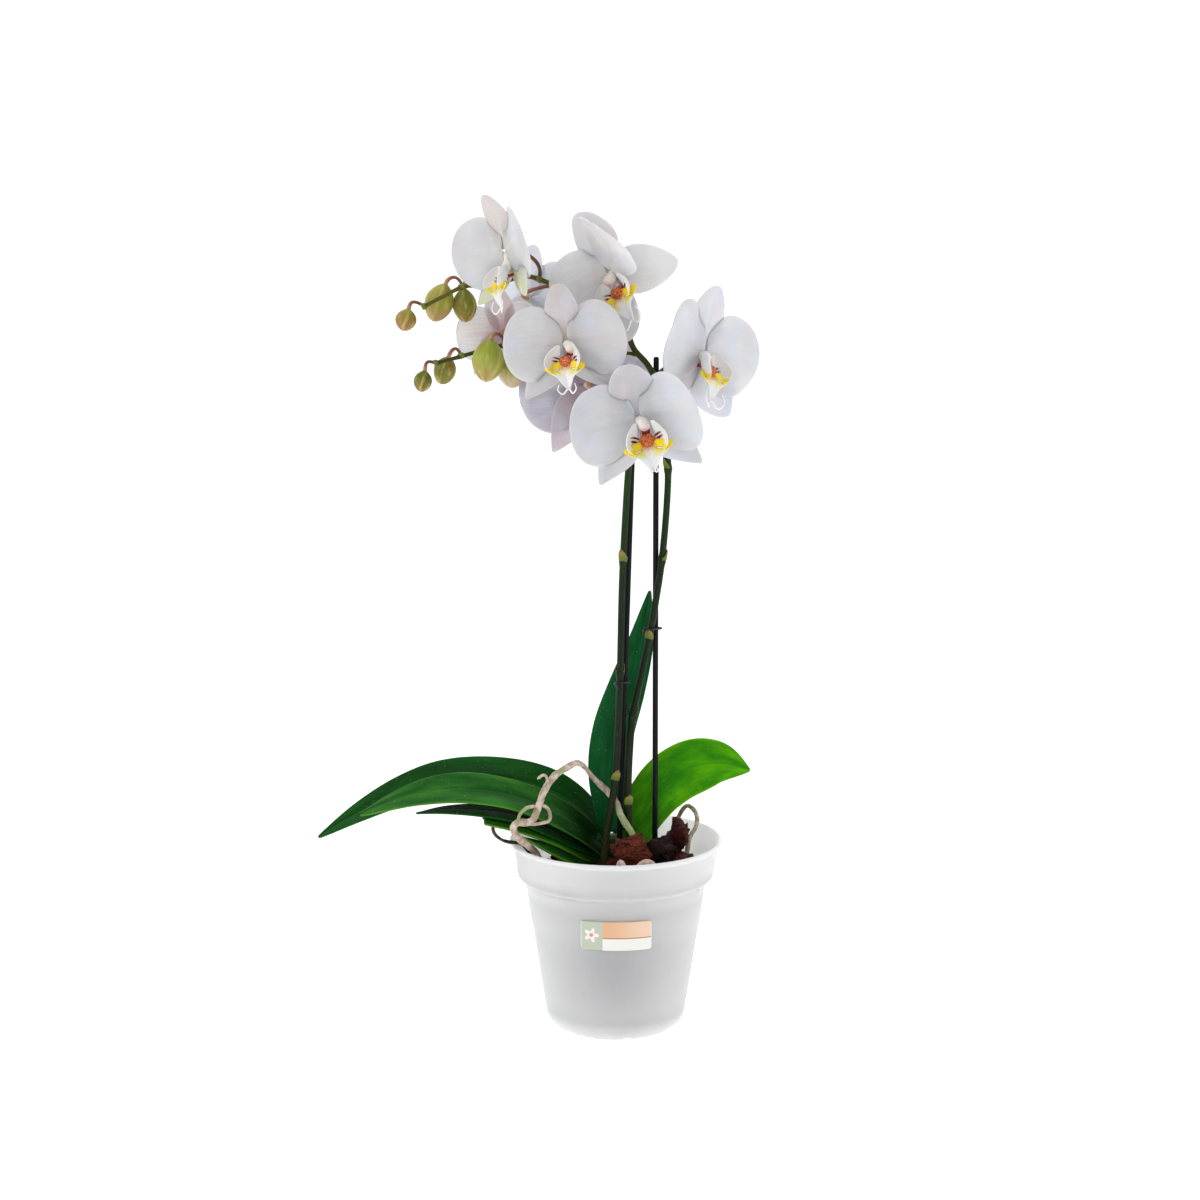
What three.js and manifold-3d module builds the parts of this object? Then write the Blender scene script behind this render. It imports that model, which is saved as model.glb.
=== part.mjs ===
// Potted orchid: a white moth orchid with two flower spikes, tied to two sticks, in a frosted
// plastic grow pot filled with bark. Millimetres, +Z up. The origin is the centre of the pot's
// foot, and the side that is looked at faces -Y.

import * as THREE from 'three';
import { mergeVertices } from 'three/addons/utils/BufferGeometryUtils.js';
import Module from 'manifold-3d';

const wasm = await Module();
wasm.setup();

// ---------------------------------------------------------------- driving dimensions

const CLEARANCE = 0.35; // between pieces that touch

const POT = {
  height: 118.5,
  rimRadius: 65,
  lipHeight: 4.5,
  collarTopRadius: 62.4,
  collarFootRadius: 60.3,
  collarFootHeight: 94,
  shoulderRadius: 55.6,
  footRadius: 41.5,
  footRounding: 12.3,
  wall: 1.4,
  sides: 30,
  slots: 8,
  slotWidth: 5,
  slotHeight: 2.6,
  slotInnerRadius: 33,
};

const LABEL = { width: 43.5, height: 18.5, bottom: 62.5, thickness: 0.6, standOff: 0.75 };

const BARK = {
  floorGap: 0.5,
  edgeHeight: 94,
  middleHeight: 103,
  sides: 18,
  chunkCount: 14,
  chunkSize: 10,
  chunkReach: 43, // from the middle
  chunkRoom: 0.62, // kept clear around a chunk, as a share of its size
  moundReach: 52,
  seed: 11,
};

// The larger pieces of bark that stand up around the stems: centre, size and turn in degrees.
const BIG_CHUNKS = [
  { at: [10, -31, 108], size: [17, 12, 14], turn: 20 },
  { at: [31, -13, 107], size: [15, 12, 16], turn: -35 },
  { at: [36, 9, 106], size: [11, 15, 21], turn: 30 },
  { at: [35, -23, 101], size: [16, 11, 11], turn: -15 },
  { at: [-21, -40, 100], size: [16, 11, 10], turn: 35 },
  { at: [-30, 26, 101], size: [18, 13, 14], turn: 60 },
  { at: [14, 37, 101], size: [20, 13, 13], turn: 5 },
];

const CROWN = { at: [-1, 8], radius: 6.2, top: 118, foot: 84 };

const STAKE = { radius: 1.7, foot: 24, clearOfBark: 22 };
const STAKES = {
  stake_left: { low: [2, -2, 103], high: [10.1, 1.5, 369] },
  stake_right: { low: [24.4, 10, 110], high: [24, 10, 412] },
};

const CLIPS = {
  clip_left: { at: [4, -2.7, 216], reach: [5.9, 4.1], turn: 51, tail: [-3.4, -3.5, -1.5] },
  clip_right: { at: [22.2, 7.9, 247], reach: [6.2, 4.3], turn: 38, tail: [-3.4, -3.5, -2] },
  clip_top: { at: [24.4, 7.3, 396.5], reach: [6, 4.2], turn: 90, tail: [-3, -4, -2] },
};

const STEM_SIDES = 6;
const SPIKE_FOOT = 60; // height of both spikes' feet, in the bark
const PEDICEL = { radius: 1.2, sides: 4, steps: 4 };

// Each flower spike: the line of its stem from the pot to its tip, cut into lengths at some of
// its nodes, each with a radius of its own, and the heights of the nodes on the bare stem.
const SPIKES = {
  spike_left: {
    lengths: [
      {
        radius: 2.25,
        steps: 5,
        line: [[-7.8, -9.7, 96], [-7.4, -9.7, 108], [-4.2, -8.9, 132], [-0.5, -7.8, 156]],
      },
      { radius: 2.1, steps: 4, line: [[-0.5, -7.8, 156], [1.6, -5.8, 190], [2.5, -4.8, 222]] },
      {
        radius: 1.95,
        steps: 6,
        line: [[2.5, -4.8, 222], [4.2, -4, 291], [6.9, -4.5, 340], [8.5, -3.5, 363]],
      },
      {
        radius: 1.6,
        steps: 12,
        line: [[8.5, -3.5, 363], [7, 0, 381], [1, 5, 398.5], [-9.6, 8, 411.5], [-24.6, 10, 417.8],
          [-42.5, 8, 420.3], [-65, 5, 419.2]],
      },
      {
        radius: 1.25,
        steps: 5,
        line: [[-65, 5, 419.2], [-75, 2, 417.6], [-93.3, -2, 412.5], [-108, -4, 408.6]],
      },
    ],
    nodes: [[-0.5, -7.8, 156], [2.5, -4.8, 222], [4.2, -4, 291]],
  },
  spike_right: {
    lengths: [
      {
        radius: 2.2,
        steps: 6,
        line: [[9.3, -7, 96], [9.3, -7, 108], [7.6, -6.5, 140], [8, -5, 168], [10.5, -0.5, 196]],
      },
      { radius: 2, steps: 4, line: [[10.5, -0.5, 196], [15.4, 4, 218.4], [20.1, 6, 241]] },
      {
        radius: 1.9,
        steps: 7,
        line: [[20.1, 6, 241], [23.7, 4.6, 262], [27.9, 6.6, 289.5], [30.8, 8, 326], [31.3, 8, 345]],
      },
      {
        radius: 1.65,
        steps: 10,
        line: [[31.3, 8, 345], [29.4, 6.5, 372], [24.6, 4.5, 396.6], [18.4, 5, 407.9], [10.6, 6, 416.8],
          [5.9, 7, 428.6], [-2.5, 8, 441]],
      },
      {
        radius: 1.45,
        steps: 7,
        line: [[-2.5, 8, 441], [-15.6, 9, 447.5], [-28.6, 7.4, 451.7], [-41.7, 7.4, 456.4],
          [-52.3, 8, 459.6]],
      },
      {
        radius: 1.2,
        steps: 9,
        line: [[-52.3, 8, 459.6], [-60, 8, 458.6], [-68, 8, 456], [-76.6, 6.6, 454], [-87, 4.8, 454.4],
          [-94, 1.6, 452.4], [-101, 0, 448.8], [-115, -2, 441.6]],
      },
    ],
    nodes: [[7.6, -6.5, 140], [10.5, -0.5, 196], [20.1, 6, 241], [27.9, 6.6, 289.5], [31.3, 8, 345]],
  },
};

// The dry stub of a dropped bloom's pedicel.
const STUB = {
  spike: 'spike_right',
  radius: 1.4,
  line: [[13, 5.8, 413.6], [9, 4, 414.2], [5.6, 2.8, 414.4], [3.4, 2, 413.4]],
};

// Each bloom: its middle, where it looks (yaw from -Y, nod down, roll), its size, and the place
// on its spike that it grows from. bend pulls its pedicel. lean is how far its tepals lean
// forward: left petal, right petal, dorsal sepal, left and right lateral sepals. turns, where
// given, are their places around the middle, in the same order.
const BLOOMS = {
  bloom_a: {
    spike: 'spike_right', at: [-65.5, -14, 474], yaw: -52, nod: 8, roll: -8, size: 0.9,
    lean: [34, 44, 16, 18, 18], from: [-46, 7.7, 457.8], bend: [4, 2, 11],
  },
  bloom_b: {
    spike: 'spike_left', at: [-68.5, 28, 425], yaw: -165, nod: 12, roll: 6, size: 0.72,
    lean: [18, 18, 6, 6, 6], from: [-38, 10.6, 419.6], bend: [-6, 12, 34],
  },
  bloom_d: {
    spike: 'spike_left', at: [-29.5, -26, 421.5], yaw: -2, nod: 8, roll: -7, size: 0.94,
    lean: [14, 14, 14, 4, 4], from: [-20, 9.6, 416.2], bend: [-3, -8, 3],
  },
  bloom_e: {
    spike: 'spike_left', at: [-17, 10, 394.5], yaw: -172, nod: 14, roll: 14, size: 1.06,
    lean: [14, 14, 4, 4, 4], from: [-4, 6.6, 405.4], bend: [-8, -10, -2],
  },
  bloom_f: {
    spike: 'spike_left', at: [13, -33, 377.5], yaw: 1, nod: 14, roll: -13, size: 1.06,
    lean: [16, 34, 26, 5, 5], from: [8.3, -2.4, 367.5], bend: [4, 2, 5],
  },
  bloom_g: {
    spike: 'spike_right', at: [-4, -9.5, 462], yaw: -50, nod: 8, roll: -33, size: 1.03,
    lean: [42, 38, 8, -12, -36], turns: [-84, 58, 0, -137, 115], from: [3.8, 7.4, 432.4], bend: [8, 4, 14],
  },
  bloom_h: {
    spike: 'spike_right', at: [52.3, 2, 414], yaw: 44, nod: 2, roll: 13, size: 1.03,
    lean: [10, 10, 3, 3, 3], turns: [-77, 84, 0, -137, 137], from: [22.8, 4.6, 400], bend: [8, 6, 8],
  },
  bloom_i: {
    spike: 'spike_right', at: [-53, 56, 445], yaw: 145, nod: 8, roll: 4, size: 0.84,
    lean: [16, 16, 6, 6, 6], from: [-31, 7.4, 452.6], bend: [-3, 14, 5],
  },
};

const TEPAL = { thickness: 0.8, rootRadius: 1.6, clawEnd: 9 };
const SEPAL_BACK = 2; // how far the sepals stand behind the middle
const PETAL_FRONT = 0.4; // and the petals in front of it
// turn is clockwise from the top, seen from the front. bend brings the end forward, curl sets
// the two edges back, both as a share of the length and width.
const DORSAL = { length: 38, width: 26, back: SEPAL_BACK, bend: 0.04, curl: 0.03, point: 0.18 };
const LATERAL = { length: 39, width: 23, back: SEPAL_BACK, bend: 0.04, curl: 0.03, point: 0.4 };
const PETAL = { length: 37.5, width: 47, back: -PETAL_FRONT, bend: 0.06, curl: 0.02, point: 0 };
const TURNS = [-84, 84, 0, -137, 137];
const HUB = { backRadius: 1.7, frontRadius: 3.3, back: 4, front: -1.2 };
const COLUMN = { radius: 2.1, length: 6.5, rise: 8 };
const LIP_SCALE = 1.35;

// Each bud: its middle, where its tip points, its size, and the place on its spike that it
// hangs from.
const BUDS = {
  bud_a: {
    spike: 'spike_right', at: [-124.4, -3, 434.5], tip: [-0.25, -0.2, -1], width: 12, length: 13.5,
    from: [-113.5, -1.7, 442.4], bend: [-8, 0, 5],
  },
  bud_b: {
    spike: 'spike_right', at: [-105.4, 10.5, 444.2], tip: [-0.35, 0.15, -1], width: 16.5, length: 24,
    from: [-91, 3, 453.4], bend: [-3, 4, 9],
  },
  bud_c: {
    spike: 'spike_right', at: [-90.5, 13.5, 442.5], tip: [0.05, 0.1, -1], width: 14, length: 20.5,
    from: [-84, 5.4, 454.4], bend: [-2, 5, 10],
  },
  bud_d: {
    spike: 'spike_left', at: [-114.6, -6, 398.5], tip: [-0.2, -0.15, -1], width: 10.5, length: 13,
    from: [-107, -3.8, 408.9], bend: [-7, 0, 3],
  },
  bud_e: {
    spike: 'spike_left', at: [-102.4, 7.5, 404], tip: [-0.3, 0.15, -1], width: 13, length: 17.5,
    from: [-92, -1.8, 412.9], bend: [-3, 5, 8],
  },
  bud_f: {
    spike: 'spike_left', at: [-75.6, -10.5, 411], tip: [-0.12, -0.2, -1], width: 18.5, length: 25.5,
    from: [-67, 4.6, 419], bend: [1, -8, 9],
  },
  bud_g: {
    spike: 'spike_left', at: [-62.6, 6.5, 405], tip: [0.1, 0.1, -1], width: 16.5, length: 23.5,
    from: [-56, 6.2, 419.9], bend: [-1, -5, 7],
  },
};

const LEAF_THICKNESS = 1.7;
// Each leaf: the line of its midrib from the crown, which way its near edge points, its widest
// half width, where along it that is, and how much its two halves fold up.
const LEAVES = {
  leaf_upper_left: {
    line: [[-8.3, 10, 115], [-20, 13, 130.5], [-36, 14.5, 143.5], [-56, 15, 151.5], [-84, 16, 155.5],
      [-110, 16, 153.5], [-134, 13, 146], [-158, 8, 134], [-183, 1, 118]],
    side: [0, -1, -0.14], halfWidth: 19, widest: 0.5, fold: 0.16, along: 13, colour: 0x1f5c2a,
  },
  leaf_front_left: {
    line: [[-8.4, 8, 110.5], [-19, -2, 121.5], [-40, -14, 137], [-66, -23, 148.5], [-94, -26, 151.5],
      [-118, -26, 149.5], [-137, -24, 144.5], [-155, -18, 137]],
    side: [0, -1, -0.26], halfWidth: 16, widest: 0.55, fold: 0.14, along: 12, colour: 0x3f7d35,
  },
  leaf_thin_left: {
    line: [[-8.4, 6, 106.8], [-21, -6.5, 115.5], [-42, -18.5, 129], [-61, -25, 138.5], [-82, -28.5, 142.5],
      [-103, -29, 143], [-120.4, -27, 140.5]],
    side: [0, -1, 0.02], halfWidth: 11, widest: 0.5, fold: 0.1, along: 10, colour: 0x174a22,
  },
  leaf_torn_left: {
    line: [[-8.6, 4, 103.6], [-20, -9, 110.5], [-38, -20.5, 123], [-57, -28, 132], [-78.6, -33, 137.2]],
    side: [0, -1, -0.05], halfWidth: 6.5, widest: 0.6, fold: 0.08, along: 8, tip: 0.5, colour: 0x4c8a34,
  },
  leaf_low_left: {
    line: [[-13, -1.5, 103.4], [-19.5, -12, 106], [-28, -21, 111], [-40, -28.5, 118.5], [-57, -32.5, 127.5]],
    side: [0.2, -1, -0.3], halfWidth: 5.5, widest: 0.5, fold: 0.15, along: 8, colour: 0x2c6a2c,
  },
  leaf_upright: {
    line: [[-1.5, 9, 119.4], [-4.6, 12, 150], [-0.8, 15, 180], [7.4, 17, 208], [15.4, 18, 238],
      [21, 18.5, 269]],
    side: [1, -0.15, 0], halfWidth: 12.4, widest: 0.33, fold: -0.3, along: 10, colour: 0x1d5a3f,
  },
  leaf_right: {
    line: [[6.4, 14, 108], [15.4, 20, 126], [29, 23, 144.5], [45, 24.5, 155.5], [63, 24, 159.5],
      [83.5, 20, 156]],
    side: [0.14, -0.36, -0.92], halfWidth: 17.5, widest: 0.6, fold: 0.12, along: 10, colour: 0x3f9a2c,
  },
};

const ROOT_SIDES = 5;
// Aerial roots: each line starts in the bark, and branches are fused to it.
const ROOTS = {
  root_arch: {
    radius: 2.2, steps: 20, colour: 0xb9aa9c,
    line: [[15.4, -19.4, 94], [14.6, -20.4, 108], [9.1, -22.5, 125], [2.4, -22, 139.5], [-7.8, -23, 154.4],
      [-18, -27, 165.8], [-25.8, -31, 170.5], [-33.5, -35, 169.5], [-40, -38.5, 162], [-44.8, -41, 148.5],
      [-50.2, -43.5, 138.5], [-59, -45, 136], [-61, -43.8, 131.5], [-57.4, -41.5, 126.4], [-51.5, -37, 122.2],
      [-44.5, -31, 114], [-39.5, -26.5, 104], [-36, -23.4, 95]],
    branches: [
      {
        radius: 1.1, steps: 5,
        line: [[-40, -38.5, 162], [-41.2, -39.5, 166], [-43.6, -40, 167.8], [-46.8, -40, 165.2]],
      },
      {
        radius: 1.25, steps: 10,
        line: [[-52.5, -44, 137.8], [-58.6, -46, 140.6], [-56, -42, 146.4], [-49.5, -38, 149.6],
          [-43, -37.4, 148], [-39.4, -40, 143], [-41.4, -44.4, 138.6], [-49.5, -45.4, 137.6]],
      },
    ],
  },
  root_left: {
    radius: 1.35, steps: 15, colour: 0x5c6148,
    line: [[-38, -12, 92], [-44.5, -14.5, 103], [-51.5, -17.5, 114.5], [-61, -21.4, 121.6], [-68.6, -25, 123],
      [-73.5, -28, 126], [-74, -30, 130], [-70, -31.5, 131.8], [-65, -33, 131]],
    branches: [],
  },
  root_right: {
    radius: 1.6, steps: 15, colour: 0xa9a08c,
    line: [[26, 27, 90], [30, 27.5, 102], [36.5, 26, 116], [42, 23, 126.5], [46.6, 18, 130], [50, 12, 126.5],
      [49.5, 5, 118.5], [46.4, -4, 110.5], [44, -9.6, 102], [42.4, -12.4, 93]],
    branches: [],
  },
  root_front: {
    radius: 1.9, steps: 9, colour: 0xb9aa9c,
    line: [[17, -39, 90], [17.4, -40, 100], [19.4, -41.4, 106.5], [23.6, -42, 108.4], [27.6, -40.8, 105],
      [29.6, -38.6, 98], [30, -37.4, 90]],
    branches: [],
  },
};

const COLOURS = {
  pot: 0xe9eaec,
  label: 0xe8c9ad,
  bark: 0x5a2f1d,
  stem: 0x3d5a24,
  stake: 0x15161a,
  petal: 0xeeeef4,
  lip: 0xf2c314,
  bud: 0xa3a44a,
  crown: 0x4c7a2e,
};

// ---------------------------------------------------------------- closed meshes and joins

function vector(point) {
  return new THREE.Vector3(...point);
}

// Signed volume of an indexed mesh: below zero when its faces point inwards.
function signedVolume(positions, triangles) {
  const [a, b, c] = [new THREE.Vector3(), new THREE.Vector3(), new THREE.Vector3()];
  let volume = 0;
  for (let i = 0; i < triangles.length; i += 3) {
    a.fromArray(positions, 3 * triangles[i]);
    b.fromArray(positions, 3 * triangles[i + 1]);
    c.fromArray(positions, 3 * triangles[i + 2]);
    volume += a.dot(b.cross(c)) / 6;
  }
  return volume;
}

// Merges a geometry's shared corners, drops flattened triangles and turns its faces outwards.
function closed(geometry) {
  const bare = geometry.clone();
  bare.deleteAttribute('normal');
  bare.deleteAttribute('uv');
  const merged = mergeVertices(bare, 1e-3);
  const corners = merged.index.array;
  const triangles = [];
  for (let i = 0; i < corners.length; i += 3) {
    const [a, b, c] = [corners[i], corners[i + 1], corners[i + 2]];
    if (a !== b && b !== c && c !== a) triangles.push(a, b, c);
  }
  if (signedVolume(merged.attributes.position.array, triangles) < 0) triangles.reverse();
  merged.setIndex(triangles);
  return merged;
}

function solidOf(geometry) {
  const whole = closed(geometry);
  return new wasm.Manifold(new wasm.Mesh({
    numProp: 3,
    vertProperties: new Float32Array(whole.attributes.position.array),
    triVerts: new Uint32Array(whole.index.array),
  }));
}

// The main body of a join or cut, without loose scraps or sealed hollows.
function geometryOf(solid) {
  const bodies = solid.decompose();
  const main = bodies.reduce((largest, body) => (body.volume() > largest.volume() ? body : largest));
  const mesh = main.getMesh();
  const geometry = new THREE.BufferGeometry();
  geometry.setAttribute('position', new THREE.BufferAttribute(mesh.vertProperties, 3));
  geometry.setIndex(new THREE.BufferAttribute(mesh.triVerts, 1));
  return geometry;
}

function joined(geometries) {
  return geometries.map(solidOf).reduce((whole, piece) => whole.add(piece));
}

const plant = new THREE.Group();

function addPiece(name, geometry, colour, finish = {}, parent = plant) {
  const shape = closed(geometry);
  shape.computeVertexNormals();
  const material = new THREE.MeshStandardMaterial({ color: colour, roughness: 0.6, metalness: 0, ...finish });
  const mesh = new THREE.Mesh(shape, material);
  mesh.name = name;
  parent.add(mesh);
  return mesh;
}

// ---------------------------------------------------------------- basic shapes

function smoothLine(points) {
  return new THREE.CatmullRomCurve3(points.map(vector), false, 'centripetal');
}

function tubeAlong(curve, radius, sides, steps) {
  const section = new THREE.Shape();
  for (let i = 0; i <= sides; i += 1) {
    const angle = (2 * Math.PI * i) / sides;
    const [x, y] = [radius * Math.cos(angle), radius * Math.sin(angle)];
    if (i === 0) section.moveTo(x, y);
    else section.lineTo(x, y);
  }
  return new THREE.ExtrudeGeometry(section, { steps, bevelEnabled: false, extrudePath: curve });
}

// A straight round bar from one point to another.
function bar(low, high, radius, sides) {
  const [from, to] = [vector(low), vector(high)];
  const along = to.clone().sub(from).normalize();
  const geometry = new THREE.CylinderGeometry(radius, radius, from.distanceTo(to), sides);
  geometry.applyQuaternion(new THREE.Quaternion().setFromUnitVectors(new THREE.Vector3(0, 1, 0), along));
  geometry.translate(...from.add(to).multiplyScalar(0.5));
  return geometry;
}

// A round piece about the Z axis from points of radius and height.
function turned(profile, sides) {
  const geometry = new THREE.LatheGeometry(profile.map((p) => new THREE.Vector2(...p)), sides);
  geometry.rotateX(Math.PI / 2);
  return geometry;
}

// A thin blade about a middle surface. surface(s, t) gives its points for s from -1 to 1 across
// and t from 0 to 1 along. Both faces are split into triangles alike, so they stay apart.
function blade(surface, across, along, thickness) {
  const STEP = 0.01;
  const positions = [];
  const triangles = [];
  const row = across + 1;
  const layer = row * (along + 1);
  for (const side of [1, -1]) {
    for (let j = 0; j <= along; j += 1) {
      for (let i = 0; i <= across; i += 1) {
        const [s, t] = [(2 * i) / across - 1, j / along];
        const overS = surface(s + STEP, t).sub(surface(s - STEP, t));
        const overT = surface(s, Math.min(t + STEP, 1)).sub(surface(s, Math.max(t - STEP, 0)));
        const normal = overS.cross(overT).normalize();
        positions.push(...surface(s, t).addScaledVector(normal, (side * thickness) / 2));
      }
    }
  }
  for (let j = 0; j < along; j += 1) {
    for (let i = 0; i < across; i += 1) {
      const [a, b, c, d] = [j * row + i, j * row + i + 1, (j + 1) * row + i + 1, (j + 1) * row + i];
      triangles.push(a, b, c, a, c, d);
      triangles.push(layer + a, layer + c, layer + b, layer + a, layer + d, layer + c);
    }
  }
  const rim = [];
  for (let i = 0; i < across; i += 1) rim.push(i);
  for (let j = 0; j < along; j += 1) rim.push(j * row + across);
  for (let i = across; i > 0; i -= 1) rim.push(along * row + i);
  for (let j = along; j > 0; j -= 1) rim.push(j * row);
  rim.forEach((here, k) => {
    const next = rim[(k + 1) % rim.length];
    triangles.push(next, here, layer + here, next, layer + here, layer + next);
  });
  const geometry = new THREE.BufferGeometry();
  geometry.setAttribute('position', new THREE.Float32BufferAttribute(positions, 3));
  geometry.setIndex(triangles);
  return geometry;
}

function seededRandom(seed) {
  let state = seed;
  return () => {
    state = (state * 1664525 + 1013904223) % 4294967296;
    return state / 4294967296;
  };
}

// ---------------------------------------------------------------- pot and label

// Outer radius of the pot's tapered body at a height.
function bodyRadius(height) {
  return POT.footRadius + ((POT.shoulderRadius - POT.footRadius) * height) / POT.collarFootHeight;
}

function makePot() {
  const { height, rimRadius, lipHeight, collarTopRadius, collarFootRadius, collarFootHeight, wall } = POT;
  const lipStart = height - lipHeight;
  const outer = [[0, 0], [POT.footRadius - POT.footRounding, 0]];
  const flare = Math.atan((POT.shoulderRadius - POT.footRadius) / collarFootHeight);
  for (let k = 1; k <= 3; k += 1) {
    const angle = ((Math.PI / 2 + flare) * k) / 3;
    const start = POT.footRadius - POT.footRounding + 1;
    const radius = start + POT.footRounding * Math.sin(angle);
    outer.push([Math.min(radius, bodyRadius(POT.footRounding)), POT.footRounding * (1 - Math.cos(angle))]);
  }
  outer.push([POT.shoulderRadius, collarFootHeight]);
  outer.push([collarFootRadius - 0.8, collarFootHeight], [collarFootRadius, collarFootHeight + 0.8]);
  outer.push([collarTopRadius, lipStart], [rimRadius - 0.3, height - 0.8], [rimRadius, height]);
  const inner = [
    [rimRadius - wall, height],
    [collarTopRadius - wall, lipStart],
    [collarFootRadius - wall, collarFootHeight + wall + 1],
    [POT.shoulderRadius - wall, collarFootHeight + wall],
    [bodyRadius(POT.footRounding) - wall, POT.footRounding],
    [POT.footRadius - 8, wall + 0.2],
    [0, wall + 0.2],
  ];
  let pot = solidOf(turned([...outer, ...inner], POT.sides));
  for (let k = 0; k < POT.slots; k += 1) {
    const slot = new THREE.BoxGeometry(12, POT.slotWidth, POT.slotHeight * 2);
    slot.translate(POT.slotInnerRadius + 6, 0, 0);
    slot.rotateZ((2 * Math.PI * (k + 0.25)) / POT.slots);
    pot = pot.subtract(solidOf(slot));
  }
  addPiece('pot', geometryOf(pot), COLOURS.pot, { roughness: 0.35, transparent: true, opacity: 0.85 });
}

function makeLabel() {
  const surface = (s, t) => {
    const z = LABEL.bottom + LABEL.height * t;
    const radius = bodyRadius(z) + LABEL.standOff;
    const angle = (s * LABEL.width) / 2 / radius;
    return new THREE.Vector3(radius * Math.sin(angle), -radius * Math.cos(angle), z);
  };
  addPiece('label', blade(surface, 12, 1, LABEL.thickness), COLOURS.label, { roughness: 0.4 });
}

// ---------------------------------------------------------------- bark

// Points along everything that comes out of the bark, which loose chunks keep away from.
function linesInBark() {
  const lines = [
    ...Object.values(LEAVES).map((leaf) => ({ line: leaf.line, reach: leaf.halfWidth * 0.75 })),
    ...Object.values(ROOTS).map((root) => ({ line: root.line, reach: root.radius })),
    ...Object.values(SPIKES).map((spike) => ({ line: spike.lengths[0].line, reach: 2.3 })),
    { line: [[...CROWN.at, 90], [...CROWN.at, CROWN.top]], reach: CROWN.radius },
    ...Object.values(STAKES).map((stake) => ({
      line: [stake.low, [...stakePoint(stake, stake.low[2] + STAKE.clearOfBark)]],
      reach: STAKE.radius,
    })),
  ];
  return lines.flatMap(({ line, reach }) => (
    smoothLine(line).getPoints(24).map((point) => ({ point, reach }))
  ));
}

// A rough box: each corner is pushed in or out, then the whole is tilted a little.
function barkChunk(at, size, turn, random) {
  const chunk = new THREE.BoxGeometry(1, 1, 1);
  chunk.deleteAttribute('normal');
  chunk.deleteAttribute('uv');
  const shape = mergeVertices(chunk);
  const corners = shape.attributes.position;
  for (let i = 0; i < corners.count; i += 1) {
    const swell = 0.72 + 0.34 * random();
    corners.setXYZ(i, corners.getX(i) * swell, corners.getY(i) * swell, corners.getZ(i) * swell);
  }
  shape.scale(...size);
  shape.rotateX(0.9 * (random() - 0.5));
  shape.rotateY(0.9 * (random() - 0.5));
  shape.rotateZ(THREE.MathUtils.degToRad(turn));
  shape.translate(...at);
  return shape;
}

function makeBark() {
  const { wall, collarFootHeight } = POT;
  const edge = (height) => bodyRadius(height) - wall - CLEARANCE - 0.2;
  const foot = wall + 0.2 + BARK.floorGap;
  const mound = turned([
    [0, foot],
    [POT.footRadius - 9.5, foot],
    [edge(POT.footRounding + 2), POT.footRounding + 2],
    [edge(BARK.edgeHeight - 2), BARK.edgeHeight - 2],
    [edge(BARK.edgeHeight) - 2, BARK.edgeHeight],
    [30, (BARK.edgeHeight + BARK.middleHeight) / 2],
    [0, BARK.middleHeight],
  ], BARK.sides);
  let bark = solidOf(mound);
  const random = seededRandom(BARK.seed);
  const taken = linesInBark();
  const isClear = (at, size) => taken.every(({ point, reach }) => (
    point.distanceTo(vector(at)) > size * BARK.chunkRoom + reach
  ));
  let placed = 0;
  for (let attempt = 0; attempt < 900 && placed < BARK.chunkCount; attempt += 1) {
    const angle = 2 * Math.PI * random();
    const radius = BARK.chunkReach * Math.sqrt(random());
    const size = BARK.chunkSize * (0.75 + 0.5 * random());
    const slope = BARK.middleHeight - ((BARK.middleHeight - BARK.edgeHeight) * radius) / BARK.moundReach;
    const at = [radius * Math.cos(angle), radius * Math.sin(angle), slope + 2.2 * random()];
    const turn = 360 * random();
    if (isClear(at, size)) {
      bark = bark.add(solidOf(barkChunk(at, [size * 1.35, size, size * 0.8], turn, random)));
      placed += 1;
    }
  }
  for (const chunk of BIG_CHUNKS) {
    bark = bark.add(solidOf(barkChunk(chunk.at, chunk.size, chunk.turn, random)));
  }
  const hole = (low, high, radius) => solidOf(bar(low, high, radius + CLEARANCE, 6));
  for (const spike of Object.values(SPIKES)) {
    const { line, radius } = spike.lengths[0];
    bark = bark.subtract(hole([line[0][0], line[0][1], SPIKE_FOOT - 1], line[1], radius));
  }
  for (const stake of Object.values(STAKES)) {
    const from = stakePoint(stake, STAKE.foot - 1);
    const to = stakePoint(stake, stake.low[2] + STAKE.clearOfBark);
    bark = bark.subtract(hole([...from], [...to], STAKE.radius + 0.1));
  }
  bark = bark.subtract(hole([...CROWN.at, CROWN.foot - 1], [...CROWN.at, CROWN.top + 6], CROWN.radius + 0.6));
  for (const root of Object.values(ROOTS)) {
    const { line } = root;
    bark = bark.subtract(hole(extended(line[1], line[0], 1.5), line[1], root.radius + 0.35));
    if (line.at(-1)[2] < collarFootHeight + 12) {
      bark = bark.subtract(hole(extended(line.at(-2), line.at(-1), 1.5), line.at(-2), root.radius + 0.35));
    }
  }
  addPiece('bark_fill', geometryOf(bark), COLOURS.bark, { roughness: 0.95 });
}

// The second point pushed on by a distance, away from the first.
function extended(first, second, distance) {
  const [from, to] = [vector(first), vector(second)];
  return [...to.clone().add(to.clone().sub(from).setLength(distance))];
}

// ---------------------------------------------------------------- sticks and clips

// The place on a stick's middle line at a height.
function stakePoint({ low, high }, height) {
  const along = vector(high).sub(vector(low)).normalize();
  return vector(low).addScaledVector(along, (height - low[2]) / along.z);
}

function makeStakes() {
  for (const [name, stake] of Object.entries(STAKES)) {
    const foot = stakePoint(stake, STAKE.foot);
    addPiece(name, bar([...foot], stake.high, STAKE.radius, 10), COLOURS.stake, { roughness: 0.5 });
  }
}

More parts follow.
